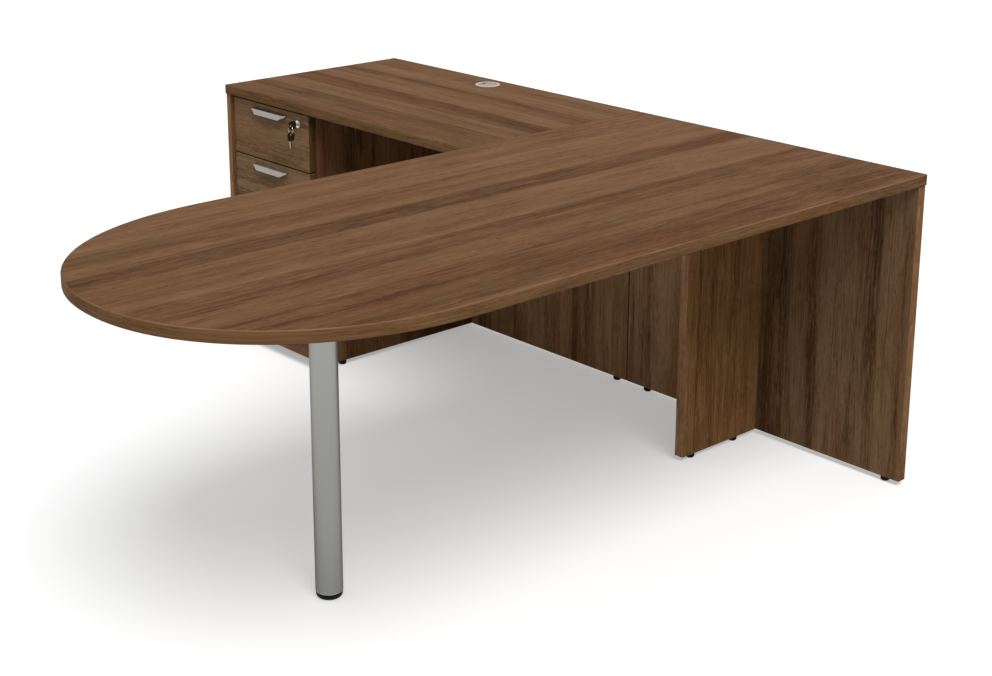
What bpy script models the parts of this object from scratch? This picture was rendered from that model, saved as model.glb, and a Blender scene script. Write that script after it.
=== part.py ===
"""An L-shaped laminate desk: round-ended main top, post leg, gable, return and three-drawer pedestal.

Metres, +Z up. The origin is on the floor, under the middle of the box round the desk.
+X points at the square end of the main top, +Y at the far end of the return.
"""

import math

import bmesh
import bpy
from mathutils import Matrix, Vector

# Overall sizes
DESK_H = 0.750
MAIN_L = 1.850
MAIN_W = 0.875
RETURN_L = 1.015
RETURN_W = 0.610
ROUND_END_L = 0.504
ROUND_END_POWER = 2.1
ROUND_END_STEPS = 64

# Fits: the gap between pieces that touch, and how far a cutter runs past a face
FIT = 0.0003
OVERRUN = 0.002

# Tops and their edge bands
TOP_T = 0.025
TOP_BAND_T = 0.003
TOP_BAND_ROUND = 0.002
TOP_BAND_STEPS = 3
TOP_CORNER_R = 0.005
TOP_CORNER_STEPS = 4

# Upright panels
GABLE_T = 0.025
RETURN_PANEL_T = 0.018
ARRIS = 0.0005
OVERHANG = 0.003
END_OVERHANG = 0.004
SEAM_GAP = 0.003
SUPPORT_L = 0.273
SUPPORT_FROM_NEAR_EDGE = 0.431

# Push-in glides under the panels
GLIDE_H = 0.012
GLIDE_R = 0.011
GLIDE_ROUND = 0.003
GLIDE_STEM_R = 0.004
GLIDE_STEM_L = 0.015
GLIDE_SIDES = 16
GLIDE_FROM_EDGE = 0.048
GLIDE_FROM_SEAM = 0.065
GLIDE_FROM_SUPPORT_END = 0.042
GLIDE_FROM_GABLE_FACE = 0.074
GLIDE_FROM_PEDESTAL_FRONT = 0.075

# Cam fittings that hold the support panel to the gable
CAM_R = 0.0075
CAM_DEPTH = 0.0155
CAM_FROM_JOINT = 0.034
CAM_FROM_PANEL_FOOT = 0.131
CAM_FROM_PANEL_TOP = 0.0737
CAM_SIDES = 16
CAM_COVER_R = 0.0088
CAM_COVER_T = 0.0012

# Steel corner brackets and joining plates under the tops
BRACKET_LEG = 0.036
BRACKET_W = 0.030
BRACKET_T = 0.002
BRACKET_HOLE_R = 0.0022
BRACKET_HOLE_FROM_TIP = 0.012
BRACKET_FROM_CORNER = 0.200
BRACKET_FROM_SUPPORT_END = 0.060
PLATE_L = 0.120
PLATE_W = 0.040
PLATE_T = 0.002
PLATE_HOLE_FROM_END = 0.015
PLATE_HOLE_FROM_SIDE = 0.010
PLATE_FROM_EDGE = 0.130
SCREW_HOLE_SIDES = 12

# Post leg
LEG_D = 0.057
LEG_WALL = 0.0015
LEG_SIDES = 48
LEG_FROM_SQUARE_END = 1.337
LEG_FROM_NEAR_EDGE = 0.465
LEG_PLATE_W = 0.110
LEG_PLATE_T = 0.003
LEG_PLATE_CORNER_R = 0.012
LEG_PLATE_HOLE_SPACING = 0.084
LEG_SPIGOT_L = 0.030
LEG_SPIGOT_WALL = 0.003
LEG_FOOT_H = 0.0115
LEG_FOOT_R = 0.0255
LEG_FOOT_TREAD_R = 0.0205
LEG_FOOT_RIDGE_H = 0.0055
LEG_STEM_R = 0.005
LEG_STEM_L = 0.018
LEG_INSERT_FLANGE_T = 0.0015
LEG_INSERT_FLANGE_R = 0.0265
LEG_INSERT_L = 0.022

# Cable grommet in the return top
GROMMET_FROM_BACK_EDGE = 0.065
GROMMET_FROM_SEAM = 0.523
GROMMET_HOLE_R = 0.0305
GROMMET_FLANGE_R = 0.035
GROMMET_FLANGE_T = 0.0022
GROMMET_WALL = 0.0022
GROMMET_DEPTH = 0.020
GROMMET_LEDGE_W = 0.003
GROMMET_CAP_T = 0.003
GROMMET_CAP_GAP = 0.0006
GROMMET_SLOT_W = 0.016
GROMMET_SLOT_L = 0.016
GROMMET_SLOT_STEPS = 8
GROMMET_SIDES = 40

# Pedestal carcass and drawer fronts
PEDESTAL_W = 0.379
PEDESTAL_BOTTOM_RISE = 0.002
RAIL_W = 0.060
FRONT_T = 0.019
FRONT_SETBACK = 0.010
FRONT_BOTTOM_Z = 0.031
FRONT_END_GAP = 0.003
FRONT_SIDE_REVEAL = 0.009
FRONT_TOP_REVEAL = 0.007
FRONT_GAP_Z = 0.0035
FRONT_H = 0.1545
FRONT_STANDOFF = 0.0015

# Folded steel drawer boxes; the inner runner profile is welded to their sides
BOX_L = 0.500
BOX_SHEET_T = 0.0012
BOX_RIM_W = 0.007
BOX_LIFT = 0.014
BOX_BELOW_FRONT_TOP = 0.0405
FILE_BOX_LIFT = 0.024
FILE_BOX_BELOW_FRONT_TOP = 0.097

# Telescopic runners: cabinet and intermediate channels round the inner profile
RUNNER_L = 0.490
RUNNER_SETBACK = 0.002
RUNNER_SPACE = 0.0127
RUNNER_T = 0.0012
RUNNER_H = 0.045
RUNNER_SLIP = 0.0004
RUNNER_CABINET_W = 0.0095
RUNNER_INTERMEDIATE_W = 0.0075
RUNNER_INNER_W = 0.0063
RUNNER_RISE_SHARE = 0.40
FILE_RUNNER_RISE_SHARE = 0.44

# Hooded pulls
PULL_W = 0.156
PULL_LIP_W = 0.107
PULL_ROOT_W = 0.154
PULL_T = 0.0022
PULL_FROM_TOP = 0.012
PULL_SHOULDER_OUT = 0.0085
PULL_SHOULDER_DROP = 0.0045
PULL_LIP_OUT = 0.0165
PULL_LIP_DROP = 0.0162
PULL_LUG_SPACING = 0.128
PULL_LUG_R = 0.0032
PULL_LUG_OUT = 0.0072
PULL_LUG_DROP = 0.0064

# Cam lock
LOCK_FROM_SIDE = 0.046
LOCK_FROM_TOP = 0.028
LOCK_FLANGE_R = 0.0105
LOCK_FLANGE_T = 0.0025
LOCK_BODY_R = 0.0085
LOCK_PLUG_R = 0.0055
LOCK_PLUG_CLEAR = 0.0002
LOCK_SIDES = 24
LOCK_BEHIND_FRONT = 0.008
LOCK_CAM_T = 0.002
LOCK_CAM_W = 0.010
LOCK_CAM_L = 0.024
LOCK_CAM_PIN_R = 0.0025
LOCK_SLOT_CLEAR = 0.003
KEYWAY_W = 0.0022
KEYWAY_H = 0.0080
KEYWAY_DEPTH = 0.018

# The key in the lock, the spare key and the ring that joins them
KEY_BLADE_T = 0.0014
KEY_BLADE_W = 0.0070
KEY_BLADE_L = 0.022
KEY_BLADE_IN_LOCK = 0.017
KEY_HEAD_W = 0.022
KEY_HEAD_L = 0.023
KEY_HEAD_T = 0.0026
KEY_CORNER_R = 0.006
KEY_CORNER_STEPS = 4
KEY_BLADE_IN_HEAD = 0.008
KEY_EYE_R = 0.0032
KEY_EYE_FROM_END = 0.006
RING_R = 0.0105
RING_WIRE_R = 0.0008
RING_STEPS = 32
RING_WIRE_SIDES = 8

# Places worked out from the sizes above
UP = Vector((0, 0, 1))
X_EDGE = MAIN_L / 2
X_ROUND = -MAIN_L / 2
Y_NEAR = -(MAIN_W + RETURN_L) / 2
Y_SEAM = Y_NEAR + MAIN_W
Y_FAR = Y_SEAM + RETURN_L
TOP_UNDER = DESK_H - TOP_T
PANEL_TOP = TOP_UNDER - FIT
GABLE_OUT = X_EDGE - OVERHANG
GABLE_IN = GABLE_OUT - GABLE_T
GABLE_MIDDLE = (GABLE_IN + GABLE_OUT) / 2
SUPPORT_NEAR = Y_NEAR + SUPPORT_FROM_NEAR_EDGE
SUPPORT_FAR = SUPPORT_NEAR + GABLE_T
SUPPORT_END = GABLE_IN - SUPPORT_L
RETURN_BACK_NEAR = Y_SEAM + SEAM_GAP
END_OUT = Y_FAR - END_OVERHANG
END_IN = END_OUT - RETURN_PANEL_T
END_FRONT = X_EDGE - RETURN_W + OVERHANG
SIDE_OUT = END_OUT - PEDESTAL_W
SIDE_IN = SIDE_OUT + RETURN_PANEL_T
FRONT_FACE = END_FRONT + FRONT_SETBACK
FRONT_BACK = FRONT_FACE + FRONT_T
SIDE_FRONT = FRONT_BACK + FRONT_STANDOFF
FRONT_NEAR = SIDE_OUT + FRONT_SIDE_REVEAL
FRONT_FAR = END_IN - FRONT_END_GAP
FRONT_MIDDLE = (FRONT_NEAR + FRONT_FAR) / 2
FRONT_TOP = TOP_UNDER - FRONT_TOP_REVEAL
BOX_FRONT = FRONT_BACK + FIT
BOX_BACK = BOX_FRONT + BOX_L
BOX_MIDDLE = (SIDE_IN + END_IN) / 2
BOX_HALF = (END_IN - SIDE_IN) / 2 - RUNNER_SPACE
LEG_X = X_EDGE - LEG_FROM_SQUARE_END
LEG_Y = Y_NEAR + LEG_FROM_NEAR_EDGE
LEG_POST_BOTTOM = LEG_FOOT_H + LEG_INSERT_FLANGE_T + 2 * FIT
LEG_POST_TOP = TOP_UNDER - LEG_PLATE_T - 2 * FIT
LEG_BORE = LEG_D / 2 - LEG_WALL
GROMMET_X = X_EDGE - GROMMET_FROM_BACK_EDGE
GROMMET_Y = Y_SEAM + GROMMET_FROM_SEAM
GROMMET_BORE = GROMMET_HOLE_R - FIT - GROMMET_WALL
GROMMET_SEAT_Z = DESK_H + GROMMET_FLANGE_T - GROMMET_CAP_T - FIT
LOCK_Y = FRONT_NEAR + LOCK_FROM_SIDE
LOCK_Z = FRONT_TOP - LOCK_FROM_TOP
LOCK_FACE = FRONT_FACE - LOCK_FLANGE_T - FIT
LOCK_BODY_END = FRONT_BACK + LOCK_BEHIND_FRONT
LOCK_CAM_X = LOCK_BODY_END + FIT
KEY_HEAD_FRONT = LOCK_FACE - (KEY_BLADE_L - KEY_BLADE_IN_LOCK)
KEY_EYE_X = KEY_HEAD_FRONT - KEY_HEAD_L + KEY_EYE_FROM_END
RING_DROP = KEY_EYE_R - RING_WIRE_R - FIT
RING_TOP_Z = LOCK_Z - RING_DROP
RING_Z = RING_TOP_Z - RING_R
RING_LOW_Z = RING_Z - RING_R
SPARE_EYE_Z = RING_LOW_Z - RING_DROP

# Each drawer, from the top down: name, lift of its box over the front's lower edge, drop of its rim
# under the front's upper edge, and the share of its height where the runners sit
DRAWERS = (
    ("top_drawer", BOX_LIFT, BOX_BELOW_FRONT_TOP, RUNNER_RISE_SHARE),
    ("middle_drawer", BOX_LIFT, BOX_BELOW_FRONT_TOP, RUNNER_RISE_SHARE),
    ("file_drawer", FILE_BOX_LIFT, FILE_BOX_BELOW_FRONT_TOP, FILE_RUNNER_RISE_SHARE),
)

# The world place of each object's origin, and the holes noted for each object
PLACES = {}
HOLES = {}


# Scene and materials


def clear_scene():
    for item in list(bpy.data.objects):
        bpy.data.objects.remove(item, do_unlink=True)


def finish(name, colour, roughness, metallic=0.0):
    material = bpy.data.materials.new(name)
    material.use_nodes = True
    shader = material.node_tree.nodes["Principled BSDF"]
    shader.inputs["Base Color"].default_value = (*colour, 1.0)
    shader.inputs["Roughness"].default_value = roughness
    shader.inputs["Metallic"].default_value = metallic
    material.diffuse_color = (*colour, 1.0)
    return material


def make_finishes():
    return {
        "walnut_top": finish("walnut_top", (0.205, 0.107, 0.062), 0.42),
        "walnut_panel": finish("walnut_panel", (0.165, 0.088, 0.052), 0.45),
        "walnut_band": finish("walnut_band", (0.235, 0.127, 0.075), 0.40),
        "drawer_steel": finish("drawer_steel", (0.50, 0.49, 0.46), 0.45),
        "satin_metal": finish("satin_metal", (0.42, 0.42, 0.40), 0.36, 1.0),
        "bright_metal": finish("bright_metal", (0.66, 0.65, 0.62), 0.30, 1.0),
        "zinc_steel": finish("zinc_steel", (0.50, 0.51, 0.52), 0.38, 1.0),
        "grey_plastic": finish("grey_plastic", (0.40, 0.39, 0.38), 0.40),
        "tan_plastic": finish("tan_plastic", (0.36, 0.25, 0.17), 0.50),
        "black_plastic": finish("black_plastic", (0.018, 0.017, 0.017), 0.42),
    }


# Objects


def settle(item, at, parent):
    """Links an object and places its origin at a world point, under its parent if it has one."""
    bpy.context.scene.collection.objects.link(item)
    PLACES[item.name] = Vector(at)
    item.location = Vector(at)
    if parent is not None:
        item.parent = parent
        item.location = Vector(at) - PLACES[parent.name]
    return item


def pivot(name, at, parent=None):
    """An empty on a joint's axis, which the moving pieces hang from."""
    return settle(bpy.data.objects.new(name, None), at, parent)


def make(name, shape, material, at, parent=None, smooth_angle=None):
    """Turns a bmesh in world coordinates into a named object with its origin at a point."""
    bmesh.ops.recalc_face_normals(shape, faces=shape.faces)
    bmesh.ops.translate(shape, verts=shape.verts, vec=-Vector(at))
    mesh = bpy.data.meshes.new(name)
    shape.to_mesh(mesh)
    shape.free()
    if smooth_angle is not None:
        mesh.shade_smooth()
        mesh.set_sharp_from_angle(angle=math.radians(smooth_angle))
    item = bpy.data.objects.new(name, mesh)
    item.data.materials.append(material)
    return settle(item, at, parent)


def helper(host, name, shape, operation):
    """Gives an object a Boolean with a hidden shape in world coordinates."""
    tool = make(name, shape, host.data.materials[0], PLACES[host.name], host)
    tool.hide_render = True
    tool.display_type = "WIRE"
    change = host.modifiers.new(name, "BOOLEAN")
    change.object = tool
    change.operation = operation
    change.solver = "EXACT"


def weld(host, name, shape):
    helper(host, name, shape, "UNION")


def drill(name, point, axis, radius, length, sides):
    """Notes a round hole from a point on a face, along an axis into the material."""
    HOLES.setdefault(name, []).append((add_cylinder, point, axis, radius, length, sides))


def mortise(name, low, high):
    """Notes a square-cornered hole."""
    HOLES.setdefault(name, []).append((add_box, low, high))


def cut_holes():
    """Cuts every noted hole, with one cutter for each object."""
    for name, holes in HOLES.items():
        shape = bmesh.new()
        for add, *sizes in holes:
            add(shape, *sizes)
        helper(bpy.data.objects[name], name + "_holes", shape, "DIFFERENCE")


# Shapes


def add_box(shape, low, high, arris=0.0):
    low, high = Vector(low), Vector(high)
    place = Matrix.Translation((low + high) / 2) @ Matrix.Diagonal((*(high - low), 1.0))
    made = bmesh.ops.create_cube(shape, size=1.0, matrix=place)
    if arris > 0:
        edges = list({edge for vert in made["verts"] for edge in vert.link_edges})
        bmesh.ops.bevel(shape, geom=edges, offset=arris, segments=1, affect="EDGES")


def turned_to(point, axis):
    """A matrix that carries local +Z to an axis and the local origin to a point."""
    return Matrix.Translation(point) @ Vector(axis).to_track_quat("Z", "Y").to_matrix().to_4x4()


def add_cylinder(shape, point, axis, radius, length, sides):
    """A cylinder along an axis, which starts an overrun before a point."""
    place = turned_to(point, axis) @ Matrix.Translation(UP * (length - OVERRUN) / 2)
    full = length + OVERRUN
    bmesh.ops.create_cone(
        shape, cap_ends=True, segments=sides, radius1=radius, radius2=radius, depth=full, matrix=place
    )


def add_turned(shape, profile, point, axis, sides, closed=False):
    """A profile of (radius, height) spun round an axis; closed joins its last point to its first."""
    verts = [shape.verts.new((radius, 0, height)) for radius, height in profile]
    edges = [shape.edges.new(pair) for pair in zip(verts, verts[1:])]
    if closed:
        edges.append(shape.edges.new((verts[-1], verts[0])))
    bmesh.ops.spin(
        shape, geom=verts + edges, cent=(0, 0, 0), axis=UP, angle=math.tau, steps=sides, use_merge=True
    )
    bmesh.ops.remove_doubles(shape, verts=shape.verts, dist=FIT / 100)
    bmesh.ops.transform(shape, matrix=turned_to(point, axis), verts=shape.verts)


def turned(name, profile, at, material, parent=None, axis=UP, sides=LOCK_SIDES, closed=False):
    shape = bmesh.new()
    add_turned(shape, profile, at, axis, sides, closed)
    return make(name, shape, material, at, parent, smooth_angle=40)


def axes_at(point, x_axis, y_axis):
    """A matrix with the given local X and Y directions."""
    x_axis, y_axis = Vector(x_axis), Vector(y_axis)
    turn = Matrix((x_axis, y_axis, x_axis.cross(y_axis))).transposed()
    return Matrix.Translation(point) @ turn.to_4x4()


def add_prism(shape, outline, place, length):
    """An outline in local X and Y, extruded along local +Z and carried to its place by a matrix."""
    verts = [shape.verts.new((x, y, 0)) for x, y in outline]
    face = shape.faces.new(verts)
    made = bmesh.ops.extrude_face_region(shape, geom=[face])
    grown = [item for item in made["geom"] if isinstance(item, bmesh.types.BMVert)]
    bmesh.ops.translate(shape, verts=grown, vec=UP * length)
    bmesh.ops.transform(shape, matrix=place, verts=verts + grown)


def prism(name, outline, place, length, material, parent=None):
    shape = bmesh.new()
    add_prism(shape, outline, place, length)
    return make(name, shape, material, place.translation, parent)


def board(name, low, high, material, parent=None):
    shape = bmesh.new()
    add_box(shape, low, high, ARRIS)
    return make(name, shape, material, (Vector(low) + Vector(high)) / 2, parent)


# Outlines


def corner(x, y, start, radius, steps):
    """Points round a corner whose arc starts at an angle in degrees and turns a quarter left."""
    points = []
    for step in range(steps + 1):
        angle = math.radians(start + 90 * step / steps)
        points.append((x + radius * math.cos(angle), y + radius * math.sin(angle)))
    return points


def rounded_rectangle(low_x, low_y, high_x, high_y, radius, steps):
    return (
        corner(high_x - radius, low_y + radius, -90, radius, steps)
        + corner(high_x - radius, high_y - radius, 0, radius, steps)
        + corner(low_x + radius, high_y - radius, 90, radius, steps)
        + corner(low_x + radius, low_y + radius, 180, radius, steps)
    )


def main_outline():
    """Square end with small corners at +X, and a round end at -X drawn as a superellipse."""
    points = corner(X_EDGE - TOP_CORNER_R, Y_NEAR + TOP_CORNER_R, -90, TOP_CORNER_R, TOP_CORNER_STEPS)
    points += corner(X_EDGE - TOP_CORNER_R, Y_SEAM - TOP_CORNER_R, 0, TOP_CORNER_R, TOP_CORNER_STEPS)
    middle = (Y_NEAR + Y_SEAM) / 2
    power = 2 / ROUND_END_POWER
    for step in range(ROUND_END_STEPS + 1):
        angle = math.pi / 2 + math.pi * step / ROUND_END_STEPS
        along = abs(math.cos(angle)) ** power
        across = math.copysign(abs(math.sin(angle)) ** power, math.sin(angle))
        points.append((X_ROUND + ROUND_END_L * (1 - along), middle + MAIN_W / 2 * across))
    return points


def return_outline():
    low_x, low_y = X_EDGE - RETURN_W, Y_SEAM + FIT
    return rounded_rectangle(low_x, low_y, X_EDGE, Y_FAR, TOP_CORNER_R, TOP_CORNER_STEPS)


def shrunk(outline, distance):
    """An anticlockwise outline moved inwards by a distance, with mitred corners."""
    points = [Vector(point) for point in outline]
    moved = []
    for index, point in enumerate(points):
        before = (point - points[index - 1]).normalized()
        after = (points[(index + 1) % len(points)] - point).normalized()
        inward = Vector((-before.y - after.y, before.x + after.x))
        moved.append(point + inward.normalized() * distance * 2 / inward.length)
    return moved


# Tops


def top_board(name, outline, material):
    place = Matrix.Translation(UP * TOP_UNDER)
    prism(name, shrunk(outline, TOP_BAND_T + FIT), place, TOP_T, material)


def top_band(name, outline, material):
    """A band round a top, with its outer top and bottom edges rounded."""
    rings = [(TOP_BAND_T, TOP_UNDER), (TOP_BAND_T, DESK_H)]
    for start, height in ((90, DESK_H - TOP_BAND_ROUND), (0, TOP_UNDER + TOP_BAND_ROUND)):
        for step in range(TOP_BAND_STEPS + 1):
            angle = math.radians(start - 90 * step / TOP_BAND_STEPS)
            inset = TOP_BAND_ROUND * (1 - math.cos(angle))
            rings.append((inset, height + TOP_BAND_ROUND * math.sin(angle)))
    shape = bmesh.new()
    loops = []
    for inset, height in rings:
        loops.append([shape.verts.new((*point, height)) for point in shrunk(outline, inset)])
    for ring, loop in enumerate(loops):
        last = loops[ring - 1]
        for index in range(len(loop)):
            shape.faces.new((last[index - 1], last[index], loop[index], loop[index - 1]))
    make(name, shape, material, (0, 0, TOP_UNDER), smooth_angle=35)


def make_tops(finishes):
    top_board("main_top", main_outline(), finishes["walnut_top"])
    top_band("main_top_edge_band", main_outline(), finishes["walnut_band"])
    top_board("return_top", return_outline(), finishes["walnut_top"])
    top_band("return_top_edge_band", return_outline(), finishes["walnut_band"])
    mouth = (GROMMET_X, GROMMET_Y, DESK_H)
    drill("return_top", mouth, -UP, GROMMET_HOLE_R, TOP_T + OVERRUN, GROMMET_SIDES)


# Upright panels


def make_panels(finishes):
    panel = finishes["walnut_panel"]
    low, high = GLIDE_H, PANEL_TOP
    edge = END_IN - FIT
    board("gable_panel", (GABLE_IN, Y_NEAR + OVERHANG, low), (GABLE_OUT, Y_SEAM, high), panel)
    board("support_panel", (SUPPORT_END, SUPPORT_NEAR, low), (GABLE_IN - FIT, SUPPORT_FAR, high), panel)
    board("return_back_panel", (GABLE_IN, RETURN_BACK_NEAR, low), (GABLE_OUT, edge, high), panel)
    board("return_end_panel", (END_FRONT, END_IN, low), (GABLE_OUT, END_OUT, high), panel)
    board("pedestal_side_panel", (SIDE_FRONT, SIDE_OUT, low), (GABLE_IN - FIT, SIDE_IN, high), panel)


def glides():
    """Name, board and place of each push-in glide."""
    support_y = (SUPPORT_NEAR + SUPPORT_FAR) / 2
    end_y = (END_IN + END_OUT) / 2
    side_y = (SIDE_IN + SIDE_OUT) / 2
    return (
        ("gable_glide_near", "gable_panel", GABLE_MIDDLE, Y_NEAR + GLIDE_FROM_EDGE),
        ("gable_glide_far", "gable_panel", GABLE_MIDDLE, Y_SEAM - GLIDE_FROM_SEAM),
        ("support_glide_outer", "support_panel", SUPPORT_END + GLIDE_FROM_SUPPORT_END, support_y),
        ("support_glide_inner", "support_panel", GABLE_IN - GLIDE_FROM_GABLE_FACE, support_y),
        ("back_glide_near", "return_back_panel", GABLE_MIDDLE, Y_SEAM + GLIDE_FROM_EDGE),
        ("back_glide_far", "return_back_panel", GABLE_MIDDLE, END_IN - GLIDE_FROM_SEAM),
        ("end_glide", "return_end_panel", END_FRONT + GLIDE_FROM_EDGE, end_y),
        ("pedestal_glide", "pedestal_side_panel", SIDE_FRONT + GLIDE_FROM_PEDESTAL_FRONT, side_y),
    )


def make_glides(finishes):
    seat = GLIDE_H - FIT
    profile = (
        (0, 0),
        (GLIDE_R - GLIDE_ROUND, 0),
        (GLIDE_R, GLIDE_ROUND),
        (GLIDE_R, seat),
        (GLIDE_STEM_R, seat),
        (GLIDE_STEM_R, seat + GLIDE_STEM_L),
        (0, seat + GLIDE_STEM_L),
    )
    for name, panel, x, y in glides():
        turned(name, profile, (x, y, 0), finishes["black_plastic"], sides=GLIDE_SIDES)
        drill(panel, (x, y, GLIDE_H), UP, GLIDE_STEM_R + FIT, GLIDE_STEM_L, GLIDE_SIDES)


def make_cam_fittings(finishes):
    """Three cams with their covers, in the near face of the support panel."""
    profile = (
        (0, -FIT - CAM_COVER_T),
        (CAM_COVER_R - CAM_COVER_T / 2, -FIT - CAM_COVER_T),
        (CAM_COVER_R, -FIT - CAM_COVER_T / 2),
        (CAM_COVER_R, -FIT),
        (CAM_R - FIT, -FIT),
        (CAM_R - FIT, CAM_DEPTH - FIT),
        (0, CAM_DEPTH - FIT),
    )
    inwards = Vector((0, 1, 0))
    low, high = GLIDE_H + CAM_FROM_PANEL_FOOT, PANEL_TOP - CAM_FROM_PANEL_TOP
    for level, z in (("lower", low), ("middle", (low + high) / 2), ("upper", high)):
        at = Vector((GABLE_IN - CAM_FROM_JOINT, SUPPORT_NEAR, z))
        turned("cam_fitting_" + level, profile, at, finishes["tan_plastic"], axis=inwards, sides=CAM_SIDES)
        drill("support_panel", at, inwards, CAM_R, CAM_DEPTH, CAM_SIDES)


# Brackets and plates


def make_bracket(name, x, y, outward, material):
    """An L bracket in the corner between a panel's face and the top; outward leaves the panel."""
    outward = Vector(outward)
    side = outward.cross(UP)
    leg, t = BRACKET_LEG, BRACKET_T
    outline = ((0, 0), (0, -leg), (t, -leg), (t, -t), (leg, -t), (leg, 0))
    middle = Vector((x, y, PANEL_TOP)) + outward * FIT
    prism(name, outline, axes_at(middle - side * BRACKET_W / 2, outward, UP), BRACKET_W, material)
    reach = leg - BRACKET_HOLE_FROM_TIP
    through = t + OVERRUN
    in_top = middle + outward * reach - UP * t
    drill(name, in_top, UP, BRACKET_HOLE_R, through, SCREW_HOLE_SIDES)
    in_panel = middle + outward * t - UP * reach
    drill(name, in_panel, -outward, BRACKET_HOLE_R, through, SCREW_HOLE_SIDES)


def make_brackets(finishes):
    zinc = finishes["zinc_steel"]
    x = SUPPORT_END + BRACKET_FROM_SUPPORT_END
    make_bracket("gable_bracket", GABLE_IN, Y_NEAR + BRACKET_FROM_CORNER, (-1, 0, 0), zinc)
    make_bracket("support_bracket", x, SUPPORT_FAR, (0, 1, 0), zinc)
    make_bracket("return_bracket", GABLE_IN, Y_SEAM + BRACKET_FROM_CORNER, (-1, 0, 0), zinc)


def make_joining_plates(finishes):
    """Flat plates across the seam between the two tops."""
    places = (
        ("joining_plate_front", X_EDGE - RETURN_W + PLATE_FROM_EDGE),
        ("joining_plate_back", X_EDGE - PLATE_FROM_EDGE),
    )
    reach_x = PLATE_W / 2 - PLATE_HOLE_FROM_SIDE
    reach_y = PLATE_L / 2 - PLATE_HOLE_FROM_END
    for name, x in places:
        low = (x - PLATE_W / 2, Y_SEAM - PLATE_L / 2, PANEL_TOP - PLATE_T)
        high = (x + PLATE_W / 2, Y_SEAM + PLATE_L / 2, PANEL_TOP)
        board(name, low, high, finishes["zinc_steel"])
        for hole_x in (x - reach_x, x + reach_x):
            for hole_y in (Y_SEAM - reach_y, Y_SEAM + reach_y):
                mouth = (hole_x, hole_y, PANEL_TOP - PLATE_T)
                drill(name, mouth, UP, BRACKET_HOLE_R, PLATE_T + OVERRUN, SCREW_HOLE_SIDES)


# Post leg


def make_leg_plate(finishes):
    """A square plate with a spigot that the tube fits over."""
    half = LEG_PLATE_W / 2
    outline = rounded_rectangle(-half, -half, half, half, LEG_PLATE_CORNER_R, TOP_CORNER_STEPS)
    under = LEG_POST_TOP + FIT
    place = Matrix.Translation((LEG_X, LEG_Y, under))
    plate = prism("leg_mounting_plate", outline, place, LEG_PLATE_T, finishes["zinc_steel"])
    outer = LEG_BORE - FIT
    ring = (
        (outer - LEG_SPIGOT_WALL, -LEG_SPIGOT_L),
        (outer, -LEG_SPIGOT_L),
        (outer, LEG_PLATE_T / 2),
        (outer - LEG_SPIGOT_WALL, LEG_PLATE_T / 2),
    )
    spigot = bmesh.new()
    add_turned(spigot, ring, place.translation, UP, LEG_SIDES, closed=True)
    weld(plate, "leg_plate_spigot", spigot)
    reach = LEG_PLATE_HOLE_SPACING / 2
    for x in (LEG_X - reach, LEG_X + reach):
        for y in (LEG_Y - reach, LEG_Y + reach):
            through = LEG_PLATE_T + OVERRUN
            drill("leg_mounting_plate", (x, y, under), UP, BRACKET_HOLE_R, through, SCREW_HOLE_SIDES)


def make_leg(finishes):
    make_leg_plate(finishes)
    tube = (
        (LEG_BORE, LEG_POST_BOTTOM),
        (LEG_D / 2 - ARRIS, LEG_POST_BOTTOM),
        (LEG_D / 2, LEG_POST_BOTTOM + 2 * ARRIS),
        (LEG_D / 2, LEG_POST_TOP),
        (LEG_BORE, LEG_POST_TOP),
    )
    at = (LEG_X, LEG_Y, 0)
    turned("leg_post", tube, at, finishes["satin_metal"], sides=LEG_SIDES, closed=True)
    flange = LEG_FOOT_H + FIT
    insert = (
        (LEG_STEM_R + FIT, flange),
        (LEG_INSERT_FLANGE_R, flange),
        (LEG_INSERT_FLANGE_R, flange + LEG_INSERT_FLANGE_T),
        (LEG_BORE - FIT, flange + LEG_INSERT_FLANGE_T),
        (LEG_BORE - FIT, flange + LEG_INSERT_L),
        (LEG_STEM_R + FIT, flange + LEG_INSERT_L),
    )
    black = finishes["black_plastic"]
    turned("leg_foot_insert", insert, at, black, sides=LEG_SIDES, closed=True)
    foot = (
        (0, 0),
        (LEG_FOOT_TREAD_R, 0),
        ((LEG_FOOT_TREAD_R + LEG_FOOT_R) / 2, LEG_FOOT_RIDGE_H / 3),
        (LEG_FOOT_R - ARRIS, LEG_FOOT_RIDGE_H),
        (LEG_FOOT_R, LEG_FOOT_RIDGE_H + ARRIS),
        (LEG_FOOT_R, LEG_FOOT_H),
        (LEG_STEM_R, LEG_FOOT_H),
        (LEG_STEM_R, LEG_FOOT_H + LEG_STEM_L),
        (0, LEG_FOOT_H + LEG_STEM_L),
    )
    axis = pivot("leg_foot_turn", at)
    turned("leg_foot", foot, at, black, axis, sides=LEG_SIDES)


# Grommet


def cap_outline():
    """A disc with a cable slot that has a round inner end, opening at +Y."""
    radius = GROMMET_BORE - GROMMET_CAP_GAP
    half = GROMMET_SLOT_W / 2
    slot_middle = radius - GROMMET_SLOT_L + half
    limit = math.asin(half / radius)
    points = []
    for step in range(GROMMET_SIDES + 1):
        angle = math.pi / 2 + limit + (math.tau - 2 * limit) * step / GROMMET_SIDES
        points.append((radius * math.cos(angle), radius * math.sin(angle)))
    for step in range(GROMMET_SLOT_STEPS + 1):
        angle = math.pi * step / GROMMET_SLOT_STEPS
        points.append((half * math.cos(angle), slot_middle - half * math.sin(angle)))
    return points


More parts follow.
